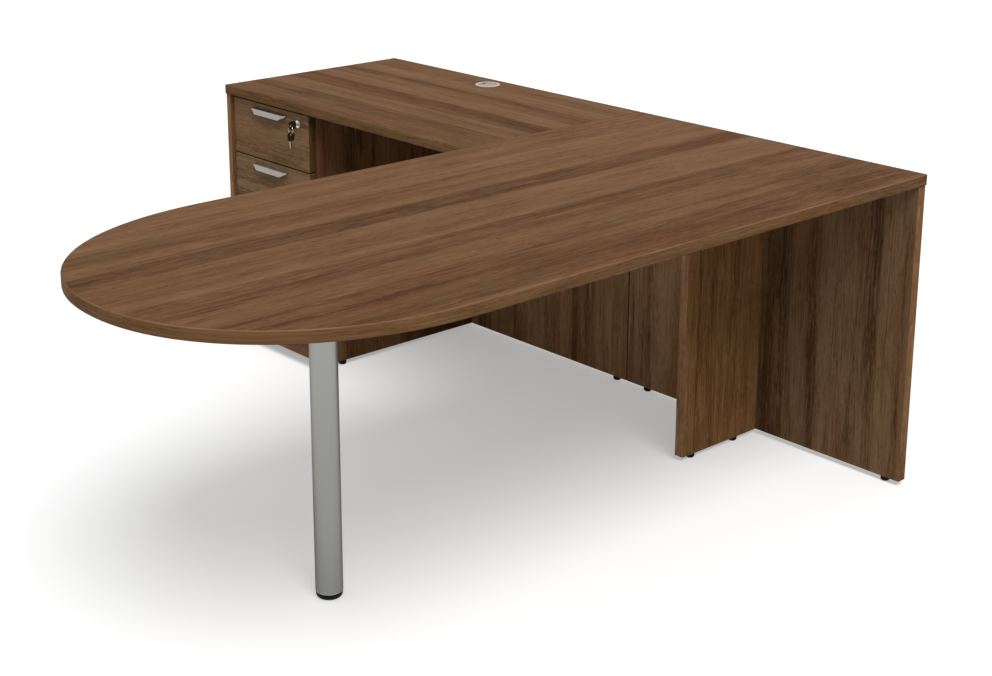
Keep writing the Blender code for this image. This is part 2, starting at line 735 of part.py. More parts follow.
def make_grommet(finishes):
    at = Vector((GROMMET_X, GROMMET_Y, 0))
    seat = DESK_H + FIT
    top = seat + GROMMET_FLANGE_T
    ledge = GROMMET_SEAT_Z - GROMMET_WALL
    liner = (
        (GROMMET_HOLE_R - FIT, DESK_H - GROMMET_DEPTH),
        (GROMMET_HOLE_R - FIT, seat),
        (GROMMET_FLANGE_R, seat),
        (GROMMET_FLANGE_R - GROMMET_FLANGE_T / 2, top),
        (GROMMET_BORE, top),
        (GROMMET_BORE, GROMMET_SEAT_Z),
        (GROMMET_BORE - GROMMET_LEDGE_W, GROMMET_SEAT_Z),
        (GROMMET_BORE - GROMMET_LEDGE_W, ledge),
        (GROMMET_BORE, ledge),
        (GROMMET_BORE, DESK_H - GROMMET_DEPTH),
    )
    grey = finishes["grey_plastic"]
    turned("grommet_liner", liner, at, grey, sides=GROMMET_SIDES, closed=True)
    axis = pivot("grommet_cap_turn", at)
    place = Matrix.Translation(at + UP * (GROMMET_SEAT_Z + FIT))
    prism("grommet_cap", cap_outline(), place, GROMMET_CAP_T, grey, axis)


# Pedestal carcass


def make_carcass(finishes):
    panel = finishes["walnut_panel"]
    near, far = SIDE_IN + FIT, END_IN - FIT
    low = FRONT_BOTTOM_Z + PEDESTAL_BOTTOM_RISE
    back = (GABLE_IN - FIT, far, low + RETURN_PANEL_T)
    board("pedestal_bottom_panel", (SIDE_FRONT, near, low), back, panel)
    rail_low = PANEL_TOP - RETURN_PANEL_T
    rail_back = (SIDE_FRONT + RAIL_W, far, PANEL_TOP)
    board("pedestal_front_rail", (SIDE_FRONT, near, rail_low), rail_back, panel)
    clear = LOCK_SLOT_CLEAR
    mortise(
        "pedestal_front_rail",
        (LOCK_CAM_X - clear, LOCK_Y - LOCK_CAM_W / 2 - clear, rail_low - OVERRUN),
        (LOCK_CAM_X + LOCK_CAM_T + clear, LOCK_Y + LOCK_CAM_L + clear, LOCK_Z + LOCK_CAM_L + clear),
    )


# Drawers


def front_heights(index):
    """Lower and upper edge of a drawer front, counted from the top one."""
    high = FRONT_TOP - index * (FRONT_H + FRONT_GAP_Z)
    last = index == len(DRAWERS) - 1
    return (FRONT_BOTTOM_Z if last else high - FRONT_H), high


def runner_half_heights():
    """Half heights of the cabinet channel, the intermediate channel and the inner profile."""
    step = RUNNER_T + RUNNER_SLIP
    return RUNNER_H / 2, RUNNER_H / 2 - step, RUNNER_H / 2 - 2 * step


def channel_outline(width, half_height):
    """A C section whose web lies on local Y and whose flanges point along local +X."""
    t = RUNNER_T
    return (
        (0, -half_height),
        (width, -half_height),
        (width, t - half_height),
        (t, t - half_height),
        (t, half_height - t),
        (width, half_height - t),
        (width, half_height),
        (0, half_height),
    )


def make_runners(name, z, finishes, half_slide):
    """The cabinet and intermediate channels on both sides of a drawer."""
    zinc = finishes["zinc_steel"]
    cabinet_half, middle_half, _ = runner_half_heights()
    cabinet = channel_outline(RUNNER_CABINET_W, cabinet_half)
    middle = channel_outline(RUNNER_INTERMEDIATE_W, middle_half)
    web = RUNNER_T + RUNNER_SLIP
    for side, wall, towards in (("near", SIDE_IN, 1), ("far", END_IN, -1)):
        inwards = Vector((0, towards, 0))
        seat = Vector((SIDE_FRONT + RUNNER_SETBACK, wall, z)) + inwards * FIT
        place = axes_at(seat, inwards, UP * towards)
        prism(name + "_cabinet_runner_" + side, cabinet, place, RUNNER_L, zinc)
        place = axes_at(seat + inwards * web, inwards, UP * towards)
        prism(name + "_intermediate_runner_" + side, middle, place, RUNNER_L, zinc, half_slide)


def box_outline(side_h, rise):
    """Section of a drawer box: floor, sides with the runner profile outside, and rims turned in."""
    t = BOX_SHEET_T
    inner_half = runner_half_heights()[2]
    out = BOX_HALF + RUNNER_INNER_W
    low, high = rise - inner_half, rise + inner_half
    right = [
        (BOX_HALF, 0),
        (BOX_HALF, low),
        (out, low),
        (out, low + t),
        (BOX_HALF, low + t),
        (BOX_HALF, high - t),
        (out, high - t),
        (out, high),
        (BOX_HALF, high),
        (BOX_HALF, side_h),
        (BOX_HALF - BOX_RIM_W, side_h),
        (BOX_HALF - BOX_RIM_W, side_h - t),
        (BOX_HALF - t, side_h - t),
        (BOX_HALF - t, t),
    ]
    return right + [(-y, z) for y, z in reversed(right)]


def make_box(name, low_z, side_h, rise, finishes, slide):
    """A folded box with a wall across its front and its back."""
    place = axes_at((BOX_FRONT, BOX_MIDDLE, low_z), (0, 1, 0), UP)
    outline = box_outline(side_h, rise)
    box = prism(name + "_box", outline, place, BOX_L, finishes["drawer_steel"], slide)
    inset = BOX_SHEET_T / 2
    for end, x in (("front", BOX_FRONT + FIT), ("back", BOX_BACK - FIT - BOX_SHEET_T)):
        wall = bmesh.new()
        low = (x, BOX_MIDDLE - BOX_HALF + inset, low_z + inset)
        high = (x + BOX_SHEET_T, BOX_MIDDLE + BOX_HALF - inset, low_z + side_h - inset)
        add_box(wall, low, high)
        weld(box, name + "_box_" + end, wall)


def pull_section():
    """Points round the pull: out from the front, up from the root, and the width there."""
    t = PULL_T
    out = PULL_LIP_OUT - PULL_SHOULDER_OUT
    down = PULL_LIP_DROP - PULL_SHOULDER_DROP
    length = math.hypot(out, down)
    return (
        (FIT, 0, PULL_ROOT_W),
        (PULL_SHOULDER_OUT, -PULL_SHOULDER_DROP, PULL_W),
        (PULL_LIP_OUT, -PULL_LIP_DROP, PULL_LIP_W),
        (PULL_LIP_OUT - t * down / length, -PULL_LIP_DROP - t * out / length, PULL_LIP_W),
        (PULL_SHOULDER_OUT - t, -PULL_SHOULDER_DROP - t, PULL_W - t),
        (FIT, -t, PULL_ROOT_W),
    )


def make_pull(name, root, finishes, slide):
    """A hooded pull: a flange from the front, a plate with tapered ends and two lugs behind it."""
    section = pull_section()
    shape = bmesh.new()
    ends = []
    for sign in (-1, 1):
        points = [
            (FRONT_FACE - out, FRONT_MIDDLE + sign * width / 2, root + rise) for out, rise, width in section
        ]
        ends.append([shape.verts.new(point) for point in points])
    near, far = ends
    for index in range(len(section)):
        shape.faces.new((near[index - 1], near[index], far[index], far[index - 1]))
    for end in ends:
        shape.faces.new(end[:2] + end[4:])
        shape.faces.new(end[1:5])
    pull = make(name + "_pull", shape, finishes["bright_metal"], (FRONT_FACE, FRONT_MIDDLE, root), slide)
    profile = ((0, FIT), (PULL_LUG_R, FIT), (PULL_LUG_R, PULL_LUG_OUT), (0, PULL_LUG_OUT))
    for side, y in (("near", -PULL_LUG_SPACING / 2), ("far", PULL_LUG_SPACING / 2)):
        lug = bmesh.new()
        at = (FRONT_FACE, FRONT_MIDDLE + y, root - PULL_LUG_DROP)
        add_turned(lug, profile, at, (-1, 0, 0), GLIDE_SIDES)
        weld(pull, name + "_lug_" + side, lug)


def make_drawers(finishes):
    """The three drawers with their runners; returns the pivot of the top one."""
    slides = []
    for index, (name, lift, drop, share) in enumerate(DRAWERS):
        low, high = front_heights(index)
        side_h = high - low - lift - drop
        rise = share * side_h
        centre = (FRONT_FACE, FRONT_MIDDLE, (low + high) / 2)
        slide = pivot(name + "_slide", centre)
        half_slide = pivot(name + "_runner_slide", centre)
        slides.append(slide)
        near, far = (FRONT_FACE, FRONT_NEAR, low), (FRONT_BACK, FRONT_FAR, high)
        board(name + "_front", near, far, finishes["walnut_panel"], slide)
        make_box(name, low + lift, side_h, rise, finishes, slide)
        make_pull(name, high - PULL_FROM_TOP, finishes, slide)
        make_runners(name, low + lift + rise, finishes, half_slide)
    return slides[0]


# Lock and keys


def make_lock(finishes, slide):
    """The cam lock in the top drawer's front; returns the pivot that its plug turns on."""
    inwards = Vector((1, 0, 0))
    bright = finishes["bright_metal"]
    face = Vector((LOCK_FACE, LOCK_Y, LOCK_Z))
    bore = LOCK_PLUG_R + LOCK_PLUG_CLEAR
    length = LOCK_BODY_END - LOCK_FACE
    housing = (
        (bore, 0),
        (LOCK_FLANGE_R - ARRIS, 0),
        (LOCK_FLANGE_R, ARRIS),
        (LOCK_FLANGE_R, LOCK_FLANGE_T),
        (LOCK_BODY_R, LOCK_FLANGE_T),
        (LOCK_BODY_R, length - FIT),
        (bore, length - FIT),
    )
    turned("lock_housing", housing, face, bright, slide, inwards, closed=True)
    mouth = face + inwards * (FRONT_FACE - LOCK_FACE)
    drill("top_drawer_front", mouth, inwards, LOCK_BODY_R + FIT, FRONT_T + OVERRUN, LOCK_SIDES)

    turn = pivot("lock_turn", face, slide)
    pin_end = length + FIT + LOCK_CAM_T
    plug = (
        (0, 0),
        (LOCK_PLUG_R, 0),
        (LOCK_PLUG_R, length),
        (LOCK_CAM_PIN_R, length),
        (LOCK_CAM_PIN_R, pin_end),
        (0, pin_end),
    )
    turned("lock_plug", plug, face, bright, turn, inwards)
    keyway = Vector((KEYWAY_DEPTH, KEYWAY_W / 2, KEYWAY_H / 2))
    mortise("lock_plug", face - keyway, face + keyway)

    half = LOCK_CAM_W / 2
    tongue = ((-half, -half), (LOCK_CAM_L, -half), (LOCK_CAM_L, half), (-half, half))
    place = axes_at((LOCK_CAM_X, LOCK_Y, LOCK_Z), (0, 1, 0), UP)
    prism("lock_cam", tongue, place, LOCK_CAM_T, finishes["zinc_steel"], turn)
    eye = LOCK_CAM_PIN_R + FIT
    drill("lock_cam", place.translation, inwards, eye, LOCK_CAM_T + OVERRUN, SCREW_HOLE_SIDES)
    return turn


def make_key(name, eye, shaft, at, material, parent):
    """A key: eye is the middle of the hole in its head, shaft the direction of its blade."""
    eye, shaft = Vector(eye), Vector(shaft)
    normal = Vector((0, 1, 0))
    place = axes_at(eye, shaft, normal.cross(shaft))
    head_low, head_high = -KEY_EYE_FROM_END, KEY_HEAD_L - KEY_EYE_FROM_END
    half = KEY_HEAD_W / 2
    outline = rounded_rectangle(head_low, -half, head_high, half, KEY_CORNER_R, KEY_CORNER_STEPS)
    head = bmesh.new()
    add_prism(head, outline, place @ Matrix.Translation(-UP * KEY_HEAD_T / 2), KEY_HEAD_T)
    key = make(name, head, material, at, parent)
    start, end, side = head_high - KEY_BLADE_IN_HEAD, head_high + KEY_BLADE_L, KEY_BLADE_W / 2
    outline = ((start, -side), (end - side, -side), (end, 0), (end - side, side), (start, side))
    blade = bmesh.new()
    add_prism(blade, outline, place @ Matrix.Translation(-UP * KEY_BLADE_T / 2), KEY_BLADE_T)
    weld(key, name + "_blade", blade)
    mouth = eye - normal * KEY_HEAD_T / 2
    drill(name, mouth, normal, KEY_EYE_R, KEY_HEAD_T + OVERRUN, GLIDE_SIDES)


def make_keys(finishes, turn):
    black = finishes["black_plastic"]
    eye = (KEY_EYE_X, LOCK_Y, LOCK_Z)
    make_key("key_in_lock", eye, (1, 0, 0), PLACES[turn.name], black, turn)
    ring_axis = pivot("key_ring_swing", (KEY_EYE_X, LOCK_Y, RING_TOP_Z), turn)
    wire = []
    for step in range(RING_WIRE_SIDES):
        angle = math.tau * step / RING_WIRE_SIDES
        wire.append((RING_R + RING_WIRE_R * math.cos(angle), RING_WIRE_R * math.sin(angle)))
    at = (KEY_EYE_X, LOCK_Y, RING_Z)
    bright = finishes["bright_metal"]
    turned("key_ring", wire, at, bright, ring_axis, (1, 0, 0), RING_STEPS, closed=True)
    low = (KEY_EYE_X, LOCK_Y, RING_LOW_Z)
    spare_axis = pivot("spare_key_swing", low, ring_axis)
    make_key("spare_key", (KEY_EYE_X, LOCK_Y, SPARE_EYE_Z), -UP, low, black, spare_axis)


def main():
    clear_scene()
    finishes = make_finishes()
    make_tops(finishes)
    make_panels(finishes)
    make_glides(finishes)
    make_cam_fittings(finishes)
    make_brackets(finishes)
    make_joining_plates(finishes)
    make_leg(finishes)
    make_grommet(finishes)
    make_carcass(finishes)
    top_slide = make_drawers(finishes)
    lock_turn = make_lock(finishes, top_slide)
    make_keys(finishes, lock_turn)
    cut_holes()


main()
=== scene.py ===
"""Looks of the L-shaped desk.

Wood and metal finishes, edge bands, screws, finer fittings, light and camera.
"""

import math

import bpy
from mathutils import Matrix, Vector


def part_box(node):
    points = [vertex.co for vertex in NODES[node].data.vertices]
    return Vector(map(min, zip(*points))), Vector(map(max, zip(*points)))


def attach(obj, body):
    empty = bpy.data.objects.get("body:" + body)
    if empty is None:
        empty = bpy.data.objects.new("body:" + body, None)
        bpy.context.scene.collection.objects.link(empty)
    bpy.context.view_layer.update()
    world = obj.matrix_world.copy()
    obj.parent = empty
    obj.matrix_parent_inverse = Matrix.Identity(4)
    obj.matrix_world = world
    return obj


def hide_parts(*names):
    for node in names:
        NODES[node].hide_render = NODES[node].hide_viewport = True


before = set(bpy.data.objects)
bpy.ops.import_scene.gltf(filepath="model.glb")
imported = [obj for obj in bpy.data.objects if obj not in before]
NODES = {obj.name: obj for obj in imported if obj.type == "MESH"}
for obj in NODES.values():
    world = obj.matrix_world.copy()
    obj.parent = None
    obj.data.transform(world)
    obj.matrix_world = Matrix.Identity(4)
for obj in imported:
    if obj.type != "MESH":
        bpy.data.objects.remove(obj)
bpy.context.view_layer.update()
DRAWERS = ("top_drawer", "middle_drawer", "file_drawer")

# Camera, from the straight edges of the photograph
CAMERA_AT = (-2.31917, -3.08168, 1.71248)
CAMERA_AZIMUTH = 41.61
CAMERA_TILT = 15.61
CAMERA_LENS = 63.01
CAMERA_SENSOR = 36.0
CAMERA_SHIFT = (0.0192, -0.1277)
CAMERA_REACH = 200.0

# Light and floor
WHITE = (1.0, 1.0, 1.0, 1.0)
SKY = 0.44
KEY_STRENGTH = 2.2
KEY_SPREAD = 34.0
KEY_FROM = (-0.22, -0.46, 0.75)
FLOOR_SIZE = 40.0
FLOOR_DROP = 0.0002
FLOOR_SEEN = (0.77, 0.77, 0.77, 1.0)
FLOOR_BOUNCE = (0.66, 0.66, 0.66, 1.0)
FLOOR_ROUGHNESS = 0.9
FLOOR_LIFT = 0.355

# Walnut tones, from light to dark, with a reddish and an olive one
WALNUT_LIGHT = (0.245, 0.130, 0.063, 1.0)
WALNUT_MIDDLE = (0.166, 0.080, 0.036, 1.0)
WALNUT_DARK = (0.068, 0.028, 0.010, 1.0)
WALNUT_RED = (0.176, 0.068, 0.029, 1.0)
WALNUT_OLIVE = (0.140, 0.084, 0.034, 1.0)
TOP_TONES = (WALNUT_LIGHT, WALNUT_MIDDLE, WALNUT_DARK)
# Painted highlight on the near arris of the tops, and painted shade on their far arris
ARRIS_HIGHLIGHT_TONE = (0.26, 0.150, 0.086, 1.0)
FAR_ARRIS_SHADE_TONE = (0.030, 0.024, 0.020, 1.0)

# Other finishes
SATIN_GREY = (0.372, 0.374, 0.358, 1.0)
# Painted shade that darkens the leg towards the floor
LEG_SHADE_GREY = (0.12, 0.12, 0.11, 1.0)
# Painted highlight: a pale ring at the lower end of the leg's tube
TUBE_END_HIGHLIGHT = (0.62, 0.62, 0.60, 1.0)
NICKEL = (0.345, 0.33, 0.305, 1.0)
LOCK_NICKEL = (0.58, 0.53, 0.46, 1.0)
ZINC = (0.42, 0.43, 0.44, 1.0)
BOX_GREY = (0.44, 0.43, 0.40, 1.0)
RIM_GREY = (0.52, 0.42, 0.36, 1.0)
CAP_GREY = (0.275, 0.262, 0.222, 1.0)
CAP_TAN = (0.205, 0.115, 0.050, 1.0)
SOFT_BLACK = (0.007, 0.0065, 0.006, 1.0)
KEY_BROWN = (0.022, 0.014, 0.006, 1.0)

# Bend of the grain: scale along and across it, and how far it moves
DRIFT_SCALE, DRIFT_REACH = (1.1, 5.0, 5.0), 0.050
WOBBLE_SCALE, WOBBLE_REACH = (8.0, 34.0, 34.0), 0.009

# Staves: scale, offset and weight of each kind, their drift and the width of their borders
STAVES = ((12.5, 0.0, 0.34), (31.0, 3.7, 0.22))
STAVE_DRIFT = 0.22
STAVE_BORDER = 0.0022

# Noise in the walnut's tone: scale, detail, roughness, distortion and weight
BANDS = ((0.8, 20.0, 20.0), 3.0, 0.55, 0.0, 0.80)
FIGURES = (
    ((6.0, 19.0, 19.0), 3.0, 0.6, 0.0, 0.46),
    ((3.6, 60.0, 60.0), 3.0, 0.6, 0.35, 0.46),
    ((10.0, 170.0, 170.0), 3.0, 0.6, 0.0, 0.46),
    ((34.0, 480.0, 480.0), 2.0, 0.6, 0.0, 0.60),
)
TONE_DARKEST, TONE_MIDDLE, TONE_LIGHTEST = 0.10, 0.50, 0.95

# Patches over the tone: scale, place in the noise, detail and limits
LINED_PARTS = ((2.2, 9.0, 9.0), (2.0, 9.0, 1.0), 2.0, (0.44, 0.60))
LINES = ((1.6, 95.0, 95.0), (8.0, 2.0, 4.0), 3.0, (0.58, 0.70))
RED_PARTS = ((1.8, 10.0, 10.0), (5.0, 1.0, 7.0), 3.0, (0.48, 0.68))
OLIVE_PARTS = ((2.1, 12.0, 12.0), (1.0, 6.0, 2.0), 3.0, (0.50, 0.68))
DARK_HAIRS = ((8.0, 210.0, 210.0), (2.0, 3.0, 6.0), 1.0, (0.60, 0.68))
PALE_HAIRS = ((8.0, 230.0, 230.0), (9.0, 3.0, 6.0), 1.0, (0.60, 0.68))
PALE_FLECKS = ((42.0, 620.0, 620.0), (4.0, 4.0, 9.0), 1.0, (0.60, 0.72))
PORES = ((50.0, 560.0, 560.0), (0.0, 0.0, 0.0), 1.0, (0.59, 0.70))
LINES_ROUGHNESS = 0.7

# Strength of each patch and of the staves' borders
LINES_STRENGTH = 0.52
WIDE_BORDER_STRENGTH, NARROW_BORDER_STRENGTH = 0.50, 0.10
RED_STRENGTH, OLIVE_STRENGTH = 0.32, 0.30
DARK_HAIR_STRENGTH, PALE_HAIR_STRENGTH = 0.34, 0.46
FLECK_STRENGTH, PORE_STRENGTH = 0.34, 0.50

# Gloss and relief
WALNUT_SHINE = 0.012
WALNUT_TONE_RANGE, WALNUT_ROUGHNESS = (0.2, 0.9), (0.58, 0.48)
WALNUT_RELIEF, WALNUT_RELIEF_HEIGHT, PORE_RELIEF = 0.10, 0.0003, -0.7
SPECKLE_SIZE = 900.0
SPECKLE_RANGE = (0.25, 0.75)
SPECKLE_RELIEF_HEIGHT = 0.0002
CLOUD_SIZE, CLOUD_WEIGHT = 22.0, 0.6
ROUGHNESS_LOW, ROUGHNESS_HIGH = 0.88, 1.12
LEG_GLINT = (0.30, 0.30, 0.30, 1.0)
# Heights and strength of the leg's painted shade towards the floor
LEG_SHADE_HEIGHTS, LEG_SHADE_STRENGTH = (0.02, 0.55), 0.42
# Heights of the painted highlight at the end of the leg's tube
LEG_END_HIGHLIGHT_HEIGHTS = (0.0146, 0.0152)

# Turns that carry a board's grain to X
ALONG_X = (0, 0, 0)
ALONG_Y = (0, 0, -90)
ALONG_Z = (0, 90, 0)

# Tints of the walnut tones; the dimmed one, the fronts' and the upright, support and shaded bands'
# are painted light and shade, paler or darker by how each face is lit
PLAIN, PAINTED_SHADE_TINT = (1.0, 1.0, 1.0), (0.85, 0.85, 0.85)
FRONT_PAINTED_LIGHT_TINT = (1.18, 1.42, 1.65)
TOP_BAND_TINT = (0.90, 0.97, 0.98)
UPRIGHT_BAND_PAINTED_LIGHT = (1.40, 1.50, 1.55)
SUPPORT_BAND_PAINTED_LIGHT = (2.3, 2.8, 3.4)
SHADED_BAND_TINT = (0.52, 0.48, 0.42)

# Boards: node, grain, place in the pattern, contrast and tint; the tints of the upright boards and
# the fronts are painted light and shade, paler or darker by how each is lit
BOARDS = (
    ("main_top", ALONG_X, (0.0, 0.0, 0.0), 1.02, (0.985, 0.985, 0.985)),
    ("return_top", ALONG_Y, (4.0, 1.3, 0.0), 0.98, (0.89, 0.885, 0.83)),
    ("gable_panel", ALONG_Z, (9.0, 8.2, 0.4), 2.0, (0.87, 1.00, 1.10)),
    ("support_panel", ALONG_Z, (2.0, 7.7, 0.2), 1.5, (1.26, 1.30, 1.13)),
    ("return_back_panel", ALONG_Z, (6.0, 5.2, 0.1), 1.35, (1.10, 1.22, 1.30)),
    ("return_end_panel", ALONG_Z, (3.0, 2.6, 0.7), 1.1, PLAIN),
    ("pedestal_side_panel", ALONG_Z, (8.0, 8.8, 0.3), 1.1, PAINTED_SHADE_TINT),
    ("pedestal_bottom_panel", ALONG_X, (5.0, 4.4, 0.9), 1.0, PLAIN),
    ("pedestal_front_rail", ALONG_Y, (7.0, 6.1, 0.5), 1.0, PLAIN),
    # Painted light: the drawer fronts are paler than the tops
    ("top_drawer_front", ALONG_Y, (1.0, 9.3, 0.6), 1.1, FRONT_PAINTED_LIGHT_TINT),
    ("middle_drawer_front", ALONG_Y, (1.4, 9.9, 0.6), 1.1, FRONT_PAINTED_LIGHT_TINT),
    ("file_drawer_front", ALONG_Y, (2.2, 8.1, 0.2), 1.1, FRONT_PAINTED_LIGHT_TINT),
)

# Painted light on the inner face of boards: node, where it starts along Y, and factors of its
# colour
PAINTED_LIGHT_INSIDE = (
    ("gable_panel", -0.490, (2.25, 2.25, 2.25)),
    ("return_back_panel", -1.0, (1.70, 1.80, 1.80)),
)
PAINTED_LIGHT_FADE = 0.025
INNER_SKIN = (0.006, 0.003)

# Thin bands on the panels and fronts
BAND_PROUD = 0.00012
BAND_DEPTH = 0.0008
BAND_INSET = 0.0006
BAND_EDGE = 0.00025
BAND_CONTRAST = 0.9
BAND_SCALE = (1.0, 0.5, 0.5)

# Bands round the tops: the painted highlight and painted shade on the arris, from the upper face
# down, and where each edge lies
ARRIS_DROP = (0.0018, 0.0008)
ARRIS_NEAR_Y = (-0.56, -0.40)
ARRIS_HIGHLIGHT_PATCHES = ((9.0, 9.0, 9.0), (0.32, 0.62), (0.15, 0.80))
FAR_EDGE_X = (0.9220, 0.9230)
FAR_EDGE_Y = (0.9420, 0.9430)
RETURN_BAND_SHIFT = 3.0

# Angles and reaches for finishing a mesh
SMOOTH_ANGLE = 35.0
TOP_BAND_SMOOTH_ANGLE = 32.0
MERGE_REACH = 0.000005
FLAT_ANGLE = 0.6
FACING = 0.9

# Rounded edges: width, then segments and least angle where they differ from the usual
PULL_EDGE = (0.0005, 3, 25.0)
LINER_EDGE, HOUSING_EDGE, PLUG_EDGE = 0.0004, 0.0003, 0.0002
LID_EDGE = (0.0003, 2)
KEY_HEAD_EDGE = (0.0002, 2)
KEY_BLADE_EDGE = (0.00015, 2, 40.0)

# Screws: head profile as radius and height, recess, and places on the plates and brackets
SCREW_PROFILE = (
    (0.0040, 0.0),
    (0.0040, 0.0005),
    (0.0036, 0.0014),
    (0.0026, 0.0020),
    (0.0012, 0.0022),
)
SCREW_SIDES = 20
RECESS = ((-0.0021, -0.00042, 0.0010), (0.0021, 0.00042, 0.0030))
DOWN = (180, 0, 0)
LEG_PLATE_THICK = 0.003
LEG_PLATE_REACH = 0.042
JOINING_PLATE_REACH = (0.010, 0.045)
BRACKET_THICK = 0.002
BRACKET_SCREW = 0.024

# Levelling foot: radius and height from the floor up
FOOT_PROFILE = (
    (0.0210, 0.0),
    (0.0234, 0.0005),
    (0.0254, 0.0020),
    (0.0267, 0.0040),
    (0.0274, 0.0062),
    (0.0277, 0.0086),
    (0.0277, 0.0109),
    (0.0272, 0.0115),
    (0.0060, 0.0115),
    (0.0050, 0.0120),
    (0.0050, 0.0295),
)
FOOT_SIDES = 64

# Grommet lid: rim, slope and depth of its dish
DISH_RIM, DISH_SLOPE, DISH_DEPTH = 0.0022, 0.0012, 0.0010
LID_SKIN = 0.0003

# Keys, with the eye at the origin and the blade below
EYE_TO_TOP = 0.006
EYE_RADIUS, EYE_SIDES, EYE_CUTTER = 0.0032, 32, 0.01
HEAD_LOW, HEAD_HIGH = (-0.011, -0.0013, -0.017), (0.011, 0.0013, EYE_TO_TOP)
HEAD_CORNER, CORNER_SEGMENTS = 0.006, 7
HEAD_RIM, HEAD_SLOPE, HEAD_DEPTH = 0.0020, 0.0005, 0.00035
BLADE_LOW, BLADE_HIGH = (-0.0035, -0.0007, -0.0388), (0.0035, 0.0007, -0.0168)
BLADE_CUTS = (-0.0355, -0.0335, -0.0315, -0.0295, -0.0275, -0.0255, -0.0235, -0.0215)
NOTCHES = ((-0.0335, 0.0012), (-0.0295, 0.0020), (-0.0255, 0.0008), (-0.0235, 0.0015))
NOTCH_REACH, NOTCHED_SIDE_X = 0.0001, 0.003
TIP_WIDTH, TIP_REACH = 0.25, 0.0002

# Key ring: two turns of flattened wire
COIL_RADIUS, COIL_SEGMENTS = 0.0105, 64
WIRE_RADIUS, WIRE_SEGMENTS = 0.00042, 10
COIL_STEP, COIL_STEP_REACH = 0.00014, 0.0025
WIRE_FLATNESS = 0.85
COIL_SIDE = 0.00036

# Shader building


def add_node(tree, kind, settings=None, **inputs):
    """Adds a shader node; an input that is a socket is linked, and any other is its value."""
    made = tree.nodes.new(kind)
    for name, value in (settings or {}).items():
        setattr(made, name, value)
    for name, value in inputs.items():
        fill(tree, made.inputs[name.replace("_", " ")], value)
    return made


def fill(tree, socket, value):
    """Links a socket to another one, or gives it a plain value."""
    if isinstance(value, bpy.types.NodeSocket):
        tree.links.new(value, socket)
    else:
        socket.default_value = value


def calculate(tree, operation, *values):
    """A Math node; returns its result."""
    made = tree.nodes.new("ShaderNodeMath")
    made.operation = operation
    for socket, value in zip(made.inputs, values):
        fill(tree, socket, value)
    return made.outputs["Value"]


def off_middle(tree, value):
    """How far a value lies from one half."""
    return calculate(tree, "SUBTRACT", value, 0.5)


def blend_colours(tree, share, low, high, mode="MIX"):
    """The low colour carried to the high one by a share."""
    made = tree.nodes.new("ShaderNodeMix")
    made.data_type = "RGBA"
    made.blend_type = mode
    fill(tree, made.inputs[0], share)
    fill(tree, made.inputs[6], low)
    fill(tree, made.inputs[7], high)
    return made.outputs[2]


def lay_over(tree, shade, patches, strength, colour):
    """A colour laid over a shade where the patches are."""
    return blend_colours(tree, calculate(tree, "MULTIPLY", patches, strength), shade, colour)


def spread(tree, value, low, high, to_low=0.0, to_high=1.0):
    """A value from one range carried to another, clamped."""
    made = add_node(
        tree,
        "ShaderNodeMapRange",
        Value=value,
        From_Min=low,
        From_Max=high,
        To_Min=to_low,
        To_Max=to_high,
    )
    return made.outputs["Result"]


def stretched(tree, vector, scale, shift=(0.0, 0.0, 0.0)):
    """Coordinates scaled and moved."""
    made = add_node(tree, "ShaderNodeMapping", Vector=vector, Scale=scale, Location=shift)
    return made.outputs["Vector"]


def noise(tree, vector, detail=2.0, roughness=0.5, distortion=0.0):
    """The value of a noise at coordinates that are scaled already."""
    made = add_node(
        tree,
        "ShaderNodeTexNoise",
        Vector=vector,
        Scale=1.0,
        Detail=detail,
        Roughness=roughness,
        Distortion=distortion,
    )
    return made.outputs["Factor"] if "Factor" in made.outputs else made.outputs["Fac"]


def noise_patches(tree, vector, scale, shift, detail, limits, roughness=0.5):
    """Patches of a noise: 0 below the limits and 1 above them."""
    pattern = noise(tree, stretched(tree, vector, scale, shift), detail, roughness)
    return spread(tree, pattern, *limits)


def object_coordinates(tree):
    return tree.nodes.new("ShaderNodeTexCoord").outputs["Object"]


def new_group(name, inputs, outputs):
    """A node group with named sockets; returns it with its input and output nodes."""
    group = bpy.data.node_groups.new(name, "ShaderNodeTree")
    for label, kind, value in inputs:
        socket = group.interface.new_socket(label, in_out="INPUT", socket_type=kind)
        if value is not None:
            socket.default_value = value
    for label, kind in outputs:
        group.interface.new_socket(label, in_out="OUTPUT", socket_type=kind)
    return group, group.nodes.new("NodeGroupInput"), group.nodes.new("NodeGroupOutput")


